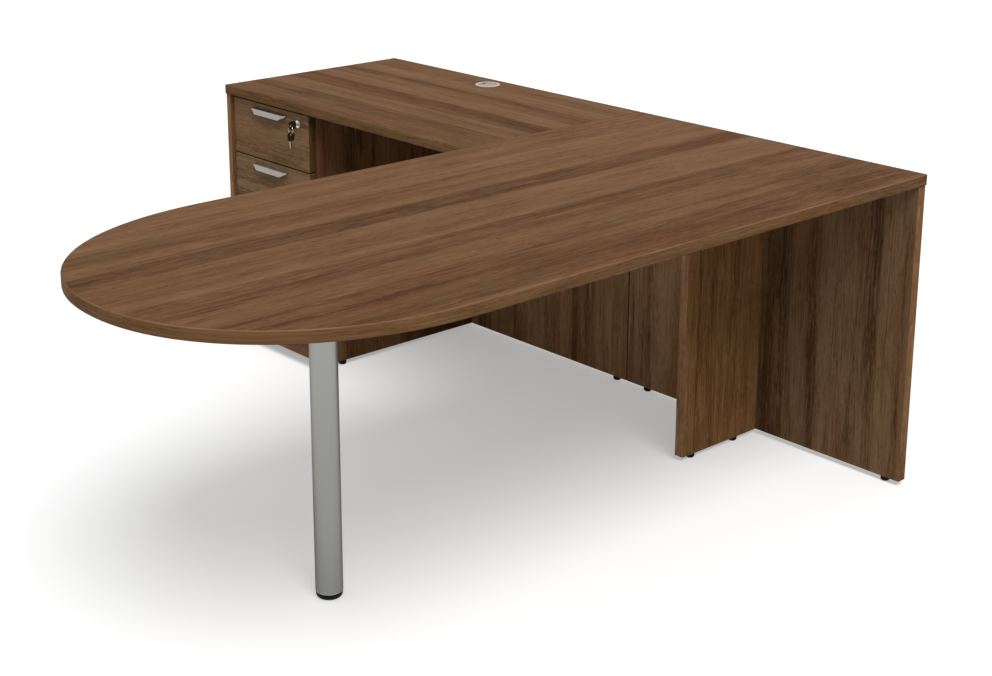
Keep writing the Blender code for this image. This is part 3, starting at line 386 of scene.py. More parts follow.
def make_walnut_group():
    """Walnut laminate with its grain along X: staves, figure, streaks, fibres and pores."""
    colour, value, vector = "NodeSocketColor", "NodeSocketFloat", "NodeSocketVector"
    inputs = (
        ("Vector", vector, None),
        ("Light", colour, WALNUT_LIGHT),
        ("Middle", colour, WALNUT_MIDDLE),
        ("Dark", colour, WALNUT_DARK),
        ("Contrast", value, 1.0),
    )
    outputs = (("Color", colour), ("Tone", value), ("Pores", value))
    tree, given, out = new_group("walnut_grain", inputs, outputs)
    place = given.outputs["Vector"]
    light, middle, dark = (given.outputs[name] for name in ("Light", "Middle", "Dark"))

    drift = off_middle(tree, noise(tree, stretched(tree, place, DRIFT_SCALE)))
    drift = calculate(tree, "MULTIPLY", drift, DRIFT_REACH)
    wobble = off_middle(tree, noise(tree, stretched(tree, place, WOBBLE_SCALE)))
    shift = calculate(tree, "MULTIPLY_ADD", wobble, WOBBLE_REACH, drift)
    push = add_node(tree, "ShaderNodeCombineXYZ", X=0.0, Y=shift, Z=shift)
    moved = add_node(tree, "ShaderNodeVectorMath", {"operation": "ADD"})
    tree.links.new(place, moved.inputs[0])
    tree.links.new(push.outputs["Vector"], moved.inputs[1])
    bent = moved.outputs["Vector"]

    scale, *character, weight = BANDS
    layers = [(noise(tree, stretched(tree, bent, scale), *character), weight)]
    across = add_node(tree, "ShaderNodeSeparateXYZ", Vector=place).outputs
    row = calculate(tree, "ADD", across["Y"], across["Z"])
    row = calculate(tree, "MULTIPLY_ADD", drift, STAVE_DRIFT, row)
    borders = []
    for scale, offset, weight in STAVES:
        at = calculate(tree, "ADD", row, offset)
        settings = {"voronoi_dimensions": "1D"}
        cells = add_node(tree, "ShaderNodeTexVoronoi", settings, W=at, Scale=scale)
        tones = add_node(tree, "ShaderNodeSeparateColor", Color=cells.outputs["Color"])
        layers.append((tones.outputs["Red"], weight))
        settings = {"voronoi_dimensions": "1D", "feature": "DISTANCE_TO_EDGE"}
        edges = add_node(tree, "ShaderNodeTexVoronoi", settings, W=at, Scale=scale)
        width = STAVE_BORDER * scale
        borders.append(spread(tree, edges.outputs["Distance"], 0.0, width, 1.0, 0.0))
    for scale, *character, weight in FIGURES:
        layers.append((noise(tree, stretched(tree, bent, scale), *character), weight))

    tone = 0.5
    for layer, weight in layers:
        tone = calculate(tree, "MULTIPLY_ADD", off_middle(tree, layer), weight, tone)
    contrast = given.outputs["Contrast"]
    tone = calculate(tree, "MULTIPLY_ADD", off_middle(tree, tone), contrast, 0.5)

    shade = blend_colours(tree, spread(tree, tone, TONE_DARKEST, TONE_MIDDLE), dark, middle)
    shade = blend_colours(tree, spread(tree, tone, TONE_MIDDLE, TONE_LIGHTEST), shade, light)

    parts = noise_patches(tree, place, *LINED_PARTS)
    lines = noise_patches(tree, bent, *LINES, LINES_ROUGHNESS)
    lines = calculate(tree, "MULTIPLY", lines, parts)
    wide_borders = calculate(tree, "MULTIPLY", borders[0], parts)
    shade = lay_over(tree, shade, lines, LINES_STRENGTH, dark)
    shade = lay_over(tree, shade, wide_borders, WIDE_BORDER_STRENGTH, dark)
    shade = lay_over(tree, shade, borders[1], NARROW_BORDER_STRENGTH, dark)

    pores = noise_patches(tree, bent, *PORES)
    for patches, strength, tint in (
        (noise_patches(tree, place, *RED_PARTS), RED_STRENGTH, WALNUT_RED),
        (noise_patches(tree, place, *OLIVE_PARTS), OLIVE_STRENGTH, WALNUT_OLIVE),
        (noise_patches(tree, bent, *DARK_HAIRS), DARK_HAIR_STRENGTH, dark),
        (noise_patches(tree, bent, *PALE_HAIRS), PALE_HAIR_STRENGTH, light),
        (noise_patches(tree, bent, *PALE_FLECKS), FLECK_STRENGTH, light),
        (pores, PORE_STRENGTH, dark),
    ):
        shade = lay_over(tree, shade, patches, strength, tint)
    tree.links.new(shade, out.inputs["Color"])
    tree.links.new(tone, out.inputs["Tone"])
    tree.links.new(pores, out.inputs["Pores"])
    return tree


def make_speckle_group():
    """Fine unevenness for metal, paint and plastic: a tone round one half, and a height."""
    value, vector = "NodeSocketFloat", "NodeSocketVector"
    inputs = (
        ("Vector", vector, None),
        ("Along", vector, (1.0, 1.0, 1.0)),
        ("Size", value, SPECKLE_SIZE),
    )
    tree, given, out = new_group("fine_speckle", inputs, (("Tone", value), ("Height", value)))
    place, size = given.outputs["Vector"], given.outputs["Size"]
    scaled = add_node(tree, "ShaderNodeVectorMath", {"operation": "MULTIPLY"})
    tree.links.new(place, scaled.inputs[0])
    tree.links.new(given.outputs["Along"], scaled.inputs[1])
    scaled = scaled.outputs["Vector"]
    grain = add_node(tree, "ShaderNodeTexNoise", Vector=scaled, Scale=size, Detail=2.0).outputs[0]
    cloud = add_node(tree, "ShaderNodeTexNoise", Vector=place, Scale=CLOUD_SIZE, Detail=2.0)
    cloud = off_middle(tree, cloud.outputs[0])
    tone = calculate(tree, "MULTIPLY_ADD", cloud, CLOUD_WEIGHT, grain)
    tree.links.new(tone, out.inputs["Tone"])
    tree.links.new(grain, out.inputs["Height"])
    return tree


def new_material(name):
    """A material; returns it with its tree and its Principled shader."""
    material = bpy.data.materials.new(name)
    material.use_nodes = True
    tree = material.node_tree
    return material, tree, tree.nodes["Principled BSDF"]


def use_group(tree, group, **inputs):
    """Puts a node group in a material; returns its outputs."""
    made = tree.nodes.new("ShaderNodeGroup")
    made.node_tree = group
    for name, value in inputs.items():
        fill(tree, made.inputs[name], value)
    return made.outputs


def finish_walnut(tree, shader, placed, contrast, tones):
    """Links the walnut group to a material's colour, gloss and bump; returns the colour."""
    light, middle, dark = tones
    grain = use_group(
        tree, WALNUT, Vector=placed, Light=light, Middle=middle, Dark=dark, Contrast=contrast
    )
    tree.links.new(grain["Color"], shader.inputs["Base Color"])
    rough = spread(tree, grain["Tone"], *WALNUT_TONE_RANGE, *WALNUT_ROUGHNESS)
    tree.links.new(rough, shader.inputs["Roughness"])
    shader.inputs["Specular IOR Level"].default_value = WALNUT_SHINE
    height = calculate(tree, "MULTIPLY_ADD", grain["Pores"], PORE_RELIEF, grain["Tone"])
    bump = add_node(
        tree, "ShaderNodeBump", Height=height, Strength=WALNUT_RELIEF, Distance=WALNUT_RELIEF_HEIGHT
    )
    tree.links.new(bump.outputs["Normal"], shader.inputs["Normal"])
    return grain["Color"]


def walnut(name, turn, shift, contrast=1.0, tones=TOP_TONES, scale=(1, 1, 1)):
    """Walnut laminate; turn carries the grain to X, and shift picks a part of the pattern."""
    material, tree, shader = new_material(name)
    angles = [math.radians(angle) for angle in turn]
    turned = add_node(tree, "ShaderNodeMapping", Vector=object_coordinates(tree), Rotation=angles)
    placed = stretched(tree, turned.outputs["Vector"], scale, shift)
    finish_walnut(tree, shader, placed, contrast, tones)
    return material


def surface(
    name,
    colour,
    roughness,
    metallic=0.0,
    along=(1.0, 1.0, 1.0),
    size=SPECKLE_SIZE,
    depth=0.08,
    change=0.10,
    gloss=0.5,
):
    """Metal, paint or plastic with fine unevenness in its tone, gloss and height."""
    material, tree, shader = new_material(name)
    fine = use_group(tree, SPECKLE, Vector=object_coordinates(tree), Along=along, Size=size)
    low = tuple(part * (1 - change) for part in colour[:3]) + (1.0,)
    high = tuple(min(1.0, part * (1 + change)) for part in colour[:3]) + (1.0,)
    share = spread(tree, fine["Tone"], *SPECKLE_RANGE)
    tree.links.new(blend_colours(tree, share, low, high), shader.inputs["Base Color"])
    limits = (roughness * ROUGHNESS_LOW, roughness * ROUGHNESS_HIGH)
    rough = spread(tree, fine["Tone"], *SPECKLE_RANGE, *limits)
    tree.links.new(rough, shader.inputs["Roughness"])
    shader.inputs["Metallic"].default_value = metallic
    shader.inputs["Specular IOR Level"].default_value = gloss
    bump = add_node(
        tree,
        "ShaderNodeBump",
        Height=fine["Height"],
        Strength=depth,
        Distance=SPECKLE_RELIEF_HEIGHT,
    )
    tree.links.new(bump.outputs["Normal"], shader.inputs["Normal"])
    return material


def make_leg_finish():
    """Satin grey metal, with painted shade making it darker towards the floor and a painted
    highlight at the tube's end.
    """
    material = surface(
        "leg_satin_grey",
        SATIN_GREY,
        0.38,
        metallic=0.80,
        along=(1.0, 1.0, 0.5),
        size=2600.0,
        depth=0.03,
        change=0.03,
        gloss=0.2,
    )
    tree = material.node_tree
    shader = tree.nodes["Principled BSDF"]
    plain = shader.inputs["Base Color"].links[0].from_socket
    shader.inputs["Specular Tint"].default_value = LEG_GLINT
    height = add_node(tree, "ShaderNodeSeparateXYZ", Vector=object_coordinates(tree)).outputs["Z"]
    # Painted shade: darker towards the floor
    painted_shade = spread(tree, height, *LEG_SHADE_HEIGHTS, LEG_SHADE_STRENGTH, 0.0)
    shade = blend_colours(tree, painted_shade, plain, LEG_SHADE_GREY)
    # Painted highlight: a pale ring at the tube's lower end
    end = spread(tree, height, *LEG_END_HIGHLIGHT_HEIGHTS, 1.0, 0.0)
    tree.links.new(blend_colours(tree, end, shade, TUBE_END_HIGHLIGHT), shader.inputs["Base Color"])
    return material


WALNUT = make_walnut_group()
SPECKLE = make_speckle_group()

PULL_FINISH = surface(
    "pull_satin_nickel",
    NICKEL,
    0.34,
    metallic=1.0,
    along=(1.0, 0.05, 1.0),
    size=1800.0,
    depth=0.04,
    change=0.06,
)
LOCK_FINISH = surface("lock_nickel", LOCK_NICKEL, 0.24, metallic=1.0, size=1500.0, depth=0.03)
ZINC_FINISH = surface(
    "zinc_plate", ZINC, 0.40, metallic=1.0, along=(0.3, 1.0, 1.0), size=700.0, depth=0.06
)
BOX_FINISH = surface(
    "drawer_powder_coat", BOX_GREY, 0.48, size=2200.0, depth=0.16, change=0.05, gloss=0.35
)
RIM_FINISH = surface("grommet_rim_plastic", RIM_GREY, 0.38, size=1600.0, change=0.05, gloss=0.3)
LID_FINISH = surface("grommet_lid_plastic", CAP_GREY, 0.42, size=1600.0, change=0.06, gloss=0.3)
CAP_FINISH = surface("cam_cover_plastic", CAP_TAN, 0.50, size=1600.0, change=0.06, gloss=0.15)
KEY_FINISH = surface(
    "key_head_plastic", KEY_BROWN, 0.45, size=1400.0, depth=0.10, change=0.15, gloss=0.10
)
BLACK_FINISH = surface(
    "black_plastic", SOFT_BLACK, 0.42, size=1400.0, depth=0.10, change=0.15, gloss=0.08
)
LEG_FINISH = make_leg_finish()


def tinted(factors):
    """The walnut tones, each channel times its factor."""
    return [
        tuple(part * factor for part, factor in zip(tone, factors)) + (1.0,) for tone in TOP_TONES
    ]


def finish_node(name, material):
    """Gives a CAD node its material."""
    for slot in NODES[name].material_slots:
        slot.material = material


def paint_light_inside(node, from_y, factors):
    """Painted light: the inner face of a board is paler, from a place along it onwards."""
    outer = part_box(node)[1].x
    tree = bpy.data.materials[node + "_walnut"].node_tree
    shader = tree.nodes["Principled BSDF"]
    plain = shader.inputs["Base Color"].links[0].from_socket
    parts = add_node(tree, "ShaderNodeSeparateXYZ", Vector=object_coordinates(tree)).outputs
    behind = spread(tree, parts["Y"], from_y - PAINTED_LIGHT_FADE, from_y)
    deep, shallow = INNER_SKIN
    inner = spread(tree, parts["X"], outer - deep, outer - shallow, 1.0, 0.0)
    share = calculate(tree, "MULTIPLY", behind, inner)
    # Painted light on the inner face
    painted_light = blend_colours(tree, share, plain, factors + (1.0,), "MULTIPLY")
    tree.links.new(painted_light, shader.inputs["Base Color"])


def finish_boards():
    """Each board gets its own stretch of the walnut pattern."""
    for name, turn, shift, contrast, tint in BOARDS:
        finish_node(name, walnut(name + "_walnut", turn, shift, contrast, tinted(tint)))
    for name, from_y, factors in PAINTED_LIGHT_INSIDE:
        paint_light_inside(name, from_y, factors)


# Modelling


def deselect():
    bpy.ops.object.select_all(action="DESELECT")


def choose(piece):
    """Makes a piece the only one selected, and the active one."""
    deselect()
    piece.select_set(True)
    bpy.context.view_layer.objects.active = piece


def settle_place(piece):
    """Puts a piece's place, turn and scale into its mesh."""
    choose(piece)
    bpy.ops.object.transform_apply(location=True, rotation=True, scale=True)


def smooth(angle=SMOOTH_ANGLE):
    """Smooths the active piece where its faces meet at less than an angle."""
    bpy.ops.object.shade_smooth_by_angle(angle=math.radians(angle))


def soften(piece, width, segments=3, angle=30.0):
    """Rounds a piece's sharp edges and smooths its curved faces."""
    choose(piece)
    edge = piece.modifiers.new("soft_edges", "BEVEL")
    edge.width = width
    edge.segments = segments
    edge.limit_method = "ANGLE"
    edge.angle_limit = math.radians(angle)
    bpy.ops.object.modifier_apply(modifier=edge.name)
    smooth()


def dress(piece, name, material, body, replaced=()):
    """Names a finished piece, gives it its material and lets it ride on a body."""
    piece.name = name
    piece.data.materials.clear()
    piece.data.materials.append(material)
    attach(piece, body)
    if replaced:
        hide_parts(*replaced)


def copy_of(node):
    """A copy of a CAD node's mesh with its vertices merged and its flat faces joined."""
    deselect()
    piece = bpy.data.objects.new(node + "_copy", NODES[node].data.copy())
    bpy.context.scene.collection.objects.link(piece)
    choose(piece)
    bpy.ops.object.mode_set(mode="EDIT")
    bpy.ops.mesh.select_all(action="SELECT")
    bpy.ops.mesh.remove_doubles(threshold=MERGE_REACH)
    bpy.ops.mesh.dissolve_limited(angle_limit=math.radians(FLAT_ANGLE))
    bpy.ops.object.mode_set(mode="OBJECT")
    return piece


def block(low, high):
    """A cube primitive stretched to a box."""
    deselect()
    low, high = Vector(low), Vector(high)
    bpy.ops.mesh.primitive_cube_add(size=1, location=(low + high) / 2, scale=high - low)
    piece = bpy.context.object
    settle_place(piece)
    return piece


def turned_piece(profile, at, sides):
    """A round piece: a filled circle extruded and resized through steps of radius and height."""
    deselect()
    (radius, height), *steps = profile
    bpy.ops.mesh.primitive_circle_add(
        vertices=sides, radius=radius, fill_type="NGON", location=(0, 0, height)
    )
    piece = bpy.context.object
    settle_place(piece)
    bpy.ops.object.mode_set(mode="EDIT")
    bpy.ops.mesh.select_all(action="SELECT")
    for next_radius, next_height in steps:
        rise = (0, 0, next_height - height)
        bpy.ops.mesh.extrude_region_move(TRANSFORM_OT_translate={"value": rise})
        share = next_radius / radius
        bpy.ops.transform.resize(value=(share, share, 1), center_override=(0, 0, next_height))
        radius, height = next_radius, next_height
    bpy.ops.mesh.select_all(action="SELECT")
    bpy.ops.mesh.normals_make_consistent(inside=False)
    bpy.ops.object.mode_set(mode="OBJECT")
    piece.location = at
    settle_place(piece)
    smooth()
    return piece


def cut_with(piece, cutter):
    """Cuts a piece with another, which is used up."""
    choose(piece)
    change = piece.modifiers.new("cut", "BOOLEAN")
    change.object = cutter
    change.operation = "DIFFERENCE"
    change.solver = "EXACT"
    bpy.ops.object.modifier_apply(modifier=change.name)
    bpy.data.objects.remove(cutter, do_unlink=True)


def join(pieces):
    """Joins pieces into the first one."""
    deselect()
    for piece in pieces:
        piece.select_set(True)
    bpy.context.view_layer.objects.active = pieces[0]
    bpy.ops.object.join()
    return pieces[0]


def placed_copy(first, at, turn=(0, 0, 0)):
    """A copy with its own mesh, turned by degrees and put in its place."""
    deselect()
    piece = first.copy()
    piece.data = first.data.copy()
    bpy.context.scene.collection.objects.link(piece)
    piece.rotation_euler = [math.radians(angle) for angle in turn]
    piece.location = at
    settle_place(piece)
    return piece


# Edge bands


def band_on(name, node, face, material, body):
    """A thin band over one edge face of a board; face is an axis letter and a sign."""
    low, high = (Vector(corner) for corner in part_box(node))
    axis = "xyz".index(face[0])
    for other in range(3):
        if other != axis:
            low[other] += BAND_INSET
            high[other] -= BAND_INSET
    if face[1] == "-":
        high[axis] = low[axis] + BAND_DEPTH
        low[axis] -= BAND_PROUD
    else:
        low[axis] = high[axis] - BAND_DEPTH
        high[axis] += BAND_PROUD
    piece = block(low, high)
    soften(piece, BAND_EDGE, 2)
    dress(piece, name, material, body)


def band_walnut(name, turn, shift, tones):
    """Walnut for a thin band, with wider stripes than on the boards."""
    return walnut(name + "_band_walnut", turn, shift, BAND_CONTRAST, tones, BAND_SCALE)


def make_panel_bands():
    """The bands on the upright panels, the pedestal's rail and bottom, and the drawer fronts."""
    # Painted light on the upright bands and the support's band, which are paler; painted shade on
    # the bands in gaps and on shaded sides, which are darker
    upright = band_walnut("upright", ALONG_Z, (4.4, 2.2, 1.1), tinted(UPRIGHT_BAND_PAINTED_LIGHT))
    painted_light_band = band_walnut("support", ALONG_Z, (5.4, 2.8, 1.1), tinted(SUPPORT_BAND_PAINTED_LIGHT))
    shaded = band_walnut("side", ALONG_Z, (7.4, 1.8, 1.1), tinted(SHADED_BAND_TINT))
    level = band_walnut("front", ALONG_Y, (6.6, 3.3, 0.2), TOP_TONES)
    bands = (
        ("gable_band_near", "gable_panel", "y-", upright),
        ("gable_band_far", "gable_panel", "y+", shaded),
        ("support_band", "support_panel", "x-", painted_light_band),
        ("end_band_front", "return_end_panel", "x-", upright),
        ("end_band_back", "return_end_panel", "x+", upright),
        ("pedestal_side_band", "pedestal_side_panel", "x-", shaded),
        ("back_band_near", "return_back_panel", "y-", shaded),
        ("bottom_band", "pedestal_bottom_panel", "x-", level),
        ("rail_band", "pedestal_front_rail", "x-", level),
    )
    for name, node, face, grain in bands:
        band_on(name, node, face, grain, "desk")
    for name in DRAWERS:
        for side, face in (("near", "y-"), ("far", "y+"), ("top", "z+"), ("bottom", "z-")):
            band_on(f"{name}_band_{side}", name + "_front", face, shaded, name)


def make_top_bands():
    """The bands round both tops, copied from the solids.

    The upper arris carries a painted highlight at the user's side and painted shade at the far
    sides.
    """
    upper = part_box("main_top")[1].z
    low_drop, high_drop = ARRIS_DROP
    for name, shift in (("main_top", 0.0), ("return_top", RETURN_BAND_SHIFT)):
        material, tree, shader = new_material(name + "_band_walnut")
        coordinates = object_coordinates(tree)
        parts = add_node(tree, "ShaderNodeSeparateXYZ", Vector=coordinates).outputs
        along = calculate(tree, "ADD", parts["X"], calculate(tree, "ADD", parts["Y"], shift))
        placed = add_node(tree, "ShaderNodeCombineXYZ", X=along, Y=parts["Z"], Z=0.0)
        placed = placed.outputs["Vector"]
        plain = finish_walnut(tree, shader, placed, 1.0, tinted(TOP_BAND_TINT))
        arris = spread(tree, parts["Z"], upper - low_drop, upper - high_drop)
        far_x = spread(tree, parts["X"], *FAR_EDGE_X)
        far = calculate(tree, "MAXIMUM", far_x, spread(tree, parts["Y"], *FAR_EDGE_Y))
        # Painted shade: the arris is darkened at the far sides
        plain = lay_over(tree, plain, arris, far, FAR_ARRIS_SHADE_TONE)
        # Painted highlight: the arris is paler at the user's side, in uneven patches
        near = spread(tree, parts["Y"], *ARRIS_NEAR_Y, 1.0, 0.0)
        painted_highlight = calculate(tree, "MULTIPLY", arris, calculate(tree, "SUBTRACT", near, far))
        scale, limits, strengths = ARRIS_HIGHLIGHT_PATCHES
        uneven = spread(tree, noise(tree, stretched(tree, coordinates, scale)), *limits, *strengths)
        plain = lay_over(tree, plain, painted_highlight, uneven, ARRIS_HIGHLIGHT_TONE)
        tree.links.new(plain, shader.inputs["Base Color"])
        piece = copy_of(name + "_edge_band")
        smooth(TOP_BAND_SMOOTH_ANGLE)
        dress(piece, name + "_edge_trim", material, "desk", (name + "_edge_band",))


# Screws


def screw_head():
    """A pan head with a cross recess, its flat side at the origin."""
    head = turned_piece(SCREW_PROFILE, (0, 0, 0), SCREW_SIDES)
    for angle in (0, 90):
        cutter = block(*RECESS)
        cutter.rotation_euler.z = math.radians(angle)
        settle_place(cutter)
        cut_with(head, cutter)
    return head


def copied_screws(places):
    """One screw head, modelled once and copied to each place with its own mesh."""
    first = screw_head()
    heads = [placed_copy(first, at, turn) for at, turn in places]
    bpy.data.objects.remove(first, do_unlink=True)
    return heads


def grid_of_four(centre, height, reach_x, reach_y):
    """Four places round a centre at one height, for screws from below."""
    return [
        ((centre.x + dx, centre.y + dy, height), DOWN)
        for dx in (-reach_x, reach_x)
        for dy in (-reach_y, reach_y)
    ]


def make_screws():
    """The screw heads under the leg's plate, the joining plates and the brackets."""
    low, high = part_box("leg_mounting_plate")
    places = grid_of_four(
        (low + high) / 2, high.z - LEG_PLATE_THICK, LEG_PLATE_REACH, LEG_PLATE_REACH
    )
    groups = [("leg_plate_screws", places)]
    for side in ("front", "back"):
        low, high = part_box("joining_plate_" + side)
        places = grid_of_four((low + high) / 2, low.z, *JOINING_PLATE_REACH)
        groups.append((f"joining_plate_{side}_screws", places))
    for name, along_y in (("gable", False), ("return", False), ("support", True)):
        low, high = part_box(name + "_bracket")
        middle = (low + high) / 2
        under, drop = high.z - BRACKET_THICK, high.z - BRACKET_SCREW
        if along_y:
            places = [
                ((middle.x, low.y + BRACKET_SCREW, under), DOWN),
                ((middle.x, low.y + BRACKET_THICK, drop), (-90, 0, 0)),
            ]
        else:
            places = [
                ((high.x - BRACKET_SCREW, middle.y, under), DOWN),
                ((high.x - BRACKET_THICK, middle.y, drop), (0, -90, 0)),
            ]
        groups.append((name + "_bracket_screws", places))
    for name, places in groups:
        dress(join(copied_screws(places)), name, ZINC_FINISH, "desk")


# Finer fittings


def make_smooth_copies():
    """Round and bent pieces whose solids are faceted, copied and smoothed."""
    copies = (
        ("leg_post", "leg_tube", LEG_FINISH, "desk", "satin_metal", 0.0),
        ("leg_foot_insert", "leg_insert", BLACK_FINISH, "desk", "black_plastic", 0.0),
        ("grommet_liner", "grommet_ring", RIM_FINISH, "desk", "grey_plastic", LINER_EDGE),
        ("lock_housing", "lock_barrel", LOCK_FINISH, "top_drawer", "bright_metal", HOUSING_EDGE),
        ("lock_plug", "lock_core", LOCK_FINISH, "lock_plug", "bright_metal", PLUG_EDGE),
    )
    for node, name, material, body, slot, edge in copies:
        piece = copy_of(node)
        if edge > 0:
            soften(piece, edge, 2)
        else:
            smooth()
        dress(piece, name, material, body, (node,))
    for name in DRAWERS:
        piece = copy_of(name + "_pull")
        soften(piece, *PULL_EDGE)
        dress(piece, name + "_pull_plate", PULL_FINISH, name, (name + "_pull",))


def make_foot():
    """The black levelling foot with its turned bowl."""
    low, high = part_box("leg_foot")
    at = ((low.x + high.x) / 2, (low.y + high.y) / 2, 0)
    piece = turned_piece(FOOT_PROFILE, at, FOOT_SIDES)
    dress(piece, "leg_bowl_foot", BLACK_FINISH, "leg_foot", ("leg_foot",))


def clear_selection(kind):
    """Leaves the active piece's mesh with nothing selected, in object mode."""
    bpy.ops.object.mode_set(mode="EDIT")
    bpy.ops.mesh.select_mode(type=kind)
    bpy.ops.mesh.select_all(action="DESELECT")
    bpy.ops.object.mode_set(mode="OBJECT")


def press_dish(rim, slope, depth):
    """Presses a dish into the selected faces of the active piece, inside a rim."""
    bpy.ops.object.mode_set(mode="EDIT")
    bpy.ops.mesh.inset(thickness=rim, depth=0.0)
    bpy.ops.mesh.inset(thickness=slope, depth=-depth)
    bpy.ops.object.mode_set(mode="OBJECT")


def make_grommet_cap():
    """The lid with a shallow dish pressed in its upper face."""
    piece = copy_of("grommet_cap")
    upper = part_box("grommet_cap")[1].z
    clear_selection("FACE")
    for face in piece.data.polygons:
        face.select = face.normal.z > FACING and face.center.z > upper - LID_SKIN
    press_dish(DISH_RIM, DISH_SLOPE, DISH_DEPTH)
    soften(piece, *LID_EDGE)
    dress(piece, "grommet_lid", LID_FINISH, "grommet_cap", ("grommet_cap",))


def shape_key_head():
    """A moulded key head, 22 mm wide, with its eye at the origin."""
    head = block(HEAD_LOW, HEAD_HIGH)
    clear_selection("EDGE")
    points = head.data.vertices
    for edge in head.data.edges:
        start, end = (points[index].co for index in edge.vertices)
        edge.select = abs(start.y - end.y) > HEAD_HIGH[1]
    bpy.ops.object.mode_set(mode="EDIT")
    bpy.ops.mesh.bevel(offset=HEAD_CORNER, segments=CORNER_SEGMENTS, affect="EDGES")
    clear_selection("FACE")
    for face in head.data.polygons:
        face.select = abs(face.normal.y) > FACING
    press_dish(HEAD_RIM, HEAD_SLOPE, HEAD_DEPTH)
    deselect()
    bpy.ops.mesh.primitive_cylinder_add(
        vertices=EYE_SIDES,
        radius=EYE_RADIUS,
        depth=EYE_CUTTER,
        rotation=(math.radians(90), 0, 0),
    )
    cutter = bpy.context.object
    settle_place(cutter)
    cut_with(head, cutter)
    soften(head, *KEY_HEAD_EDGE)
    return head


def shape_key_blade():
    """The cut blade below the head, with its notches on one side and a tapered tip."""
    blade = block(BLADE_LOW, BLADE_HIGH)
    tip = BLADE_LOW[2]
    bpy.ops.object.mode_set(mode="EDIT")
    for level in BLADE_CUTS:
        bpy.ops.mesh.select_all(action="SELECT")
        bpy.ops.mesh.bisect(plane_co=(0, 0, level), plane_no=(0, 0, 1))
    clear_selection("VERT")
    for point in blade.data.vertices:
        point.select = point.co.z < tip + TIP_REACH
    bpy.ops.object.mode_set(mode="EDIT")
    bpy.ops.transform.resize(value=(TIP_WIDTH, 1, 1), center_override=(0, 0, tip))
    for level, cut in NOTCHES:
        clear_selection("VERT")
        for point in blade.data.vertices:
            at_level = abs(point.co.z - level) < NOTCH_REACH
            point.select = at_level and point.co.x > NOTCHED_SIDE_X
        bpy.ops.object.mode_set(mode="EDIT")
        bpy.ops.transform.translate(value=(-cut, 0, 0))
    bpy.ops.object.mode_set(mode="OBJECT")
    soften(blade, *KEY_BLADE_EDGE)
    return blade


def shape_coil():
    """One turn of flattened wire about X, off its middle by one step and by two at its foot."""
    deselect()
    bpy.ops.mesh.primitive_torus_add(
        rotation=(0, math.radians(90), 0),
        major_radius=COIL_RADIUS,
        minor_radius=WIRE_RADIUS,
        major_segments=COIL_SEGMENTS,
        minor_segments=WIRE_SEGMENTS,
    )
    coil = bpy.context.object
    settle_place(coil)
    bpy.ops.object.mode_set(mode="EDIT")
    bpy.ops.mesh.select_all(action="SELECT")
    bpy.ops.transform.translate(value=(COIL_STEP, 0, 0))
    clear_selection("VERT")
    for point in coil.data.vertices:
        point.select = point.co.z < 0 and abs(point.co.y) < COIL_STEP_REACH
    bpy.ops.object.mode_set(mode="EDIT")
    bpy.ops.transform.translate(value=(COIL_STEP, 0, 0))
    bpy.ops.mesh.select_all(action="SELECT")
    bpy.ops.transform.resize(value=(WIRE_FLATNESS, 1, 1), center_override=(0, 0, 0))
    bpy.ops.object.mode_set(mode="OBJECT")
    bpy.ops.object.shade_smooth()
    return coil


def make_keys():
    """The key in the lock and the spare key below it, copied from one model."""
    head, blade = shape_key_head(), shape_key_blade()
    head.data.materials.append(KEY_FINISH)
    blade.data.materials.append(LOCK_FINISH)
    first = join([head, blade])
    low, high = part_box("spare_key")
    middle = (low + high) / 2
    spare_eye = (middle.x, middle.y, high.z - EYE_TO_TOP)
    low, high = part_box("key_in_lock")
    middle = (low + high) / 2
    lock_eye = (low.x + EYE_TO_TOP, middle.y, middle.z)
    places = (
        ("spare_key", "spare_key_pair", "spare_key", spare_eye, 0),
        ("key_in_lock", "lock_key_pair", "lock_plug", lock_eye, -90),
    )
    for node, name, body, eye, angle in places:
        key = placed_copy(first, eye, (0, angle, 0))
        key.name = name
        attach(key, body)
        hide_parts(node)
    bpy.data.objects.remove(first, do_unlink=True)


def make_key_ring():
    """The ring, its two turns copied from one."""
    low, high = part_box("key_ring")
    centre = (low + high) / 2
    coil = shape_coil()
    coils = [
        placed_copy(coil, centre + Vector((shift, 0, 0)), (turn, 0, 0))
        for shift, turn in ((-COIL_SIDE, 180), (COIL_SIDE, 0))
    ]
    bpy.data.objects.remove(coil, do_unlink=True)
    dress(join(coils), "key_ring_coil", LOCK_FINISH, "key_ring", ("key_ring",))


def finish_plain_nodes():
    """Nodes whose shape is right as it is."""
    for name in DRAWERS:
        finish_node(name + "_box", BOX_FINISH)
        for member in ("cabinet_runner", "intermediate_runner"):
            for side in ("near", "far"):
                finish_node(f"{name}_{member}_{side}", ZINC_FINISH)
    for name in NODES:
        if name.endswith(("_bracket", "_plate", "plate_front", "plate_back", "lock_cam")):
            finish_node(name, ZINC_FINISH)
        if "_glide" in name:
            finish_node(name, BLACK_FINISH)
        if name.startswith("cam_fitting"):
            finish_node(name, CAP_FINISH)


# Stage


def seen_rays(tree):
    """One for rays from the camera, from gloss and through glass, and nothing for any other."""
    paths = tree.nodes.new("ShaderNodeLightPath").outputs
    seen = calculate(tree, "MAXIMUM", paths["Is Camera Ray"], paths["Is Glossy Ray"])
    return calculate(tree, "MAXIMUM", seen, paths["Is Transmission Ray"])


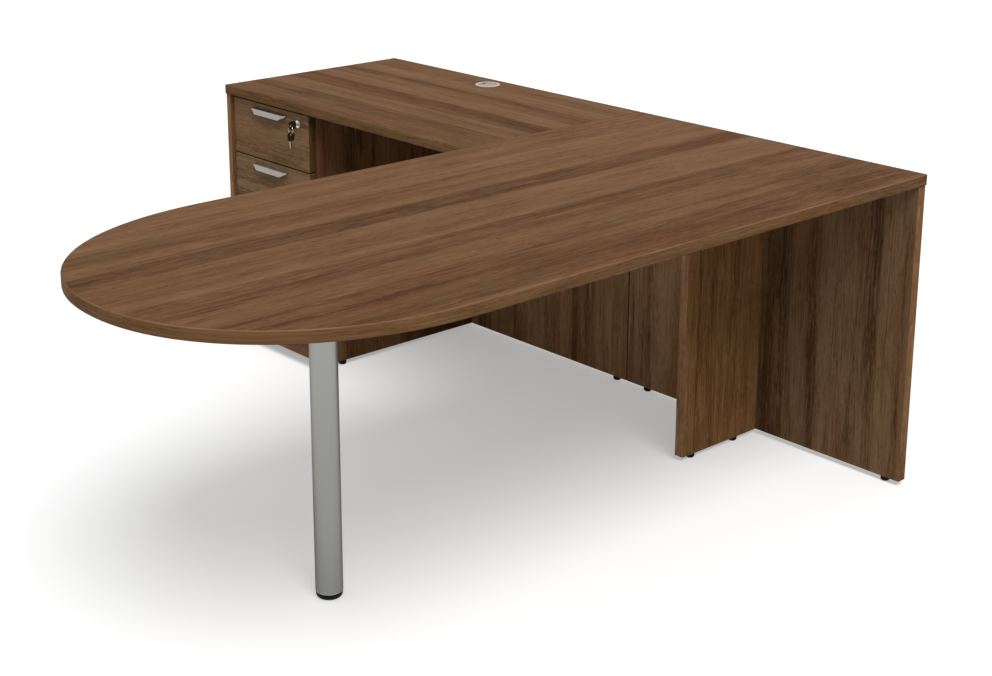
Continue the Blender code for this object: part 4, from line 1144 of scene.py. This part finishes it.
def make_floor():
    """A white floor that keeps the soft shadow."""
    deselect()
    bpy.ops.mesh.primitive_plane_add(size=FLOOR_SIZE, location=(0, 0, -FLOOR_DROP))
    floor = bpy.context.object
    floor.name = "floor"
    settle_place(floor)
    material, tree, shader = new_material("pale_floor")
    shader.inputs["Roughness"].default_value = FLOOR_ROUGHNESS
    shader.inputs["Specular IOR Level"].default_value = 0.0
    shader.inputs["Emission Color"].default_value = WHITE
    seen = seen_rays(tree)
    colour = blend_colours(tree, seen, FLOOR_BOUNCE, FLOOR_SEEN)
    tree.links.new(colour, shader.inputs["Base Color"])
    lift = calculate(tree, "MULTIPLY", seen, FLOOR_LIFT)
    tree.links.new(lift, shader.inputs["Emission Strength"])
    floor.data.materials.append(material)


def make_light():
    """A white world, dimmer as a light than as a background, and one broad sun."""
    world = bpy.data.worlds.new("studio")
    bpy.context.scene.world = world
    world.use_nodes = True
    tree = world.node_tree
    sky = tree.nodes["Background"]
    sky.inputs["Color"].default_value = WHITE
    strength = spread(tree, seen_rays(tree), 0.0, 1.0, SKY, 1.0)
    tree.links.new(strength, sky.inputs["Strength"])
    lamp = bpy.data.lights.new("key_light", "SUN")
    lamp.energy = KEY_STRENGTH
    lamp.angle = math.radians(KEY_SPREAD)
    item = bpy.data.objects.new("key_light", lamp)
    item.location = KEY_FROM
    item.rotation_euler = (-Vector(KEY_FROM)).to_track_quat("-Z", "Y").to_euler()
    bpy.context.scene.collection.objects.link(item)


def make_camera():
    """The camera of the photograph."""
    data = bpy.data.cameras.new("camera")
    data.lens = CAMERA_LENS
    data.sensor_width = CAMERA_SENSOR
    data.shift_x, data.shift_y = CAMERA_SHIFT
    data.clip_end = CAMERA_REACH
    item = bpy.data.objects.new("camera", data)
    item.location = CAMERA_AT
    item.rotation_euler = (math.radians(90 - CAMERA_TILT), 0, math.radians(-CAMERA_AZIMUTH))
    bpy.context.scene.collection.objects.link(item)
    bpy.context.scene.camera = item


make_camera()
finish_boards()
finish_plain_nodes()
make_top_bands()
make_panel_bands()
make_screws()
make_smooth_copies()
make_foot()
make_grommet_cap()
make_keys()
make_key_ring()
make_floor()
make_light()
bpy.context.scene.view_settings.view_transform = "Standard"
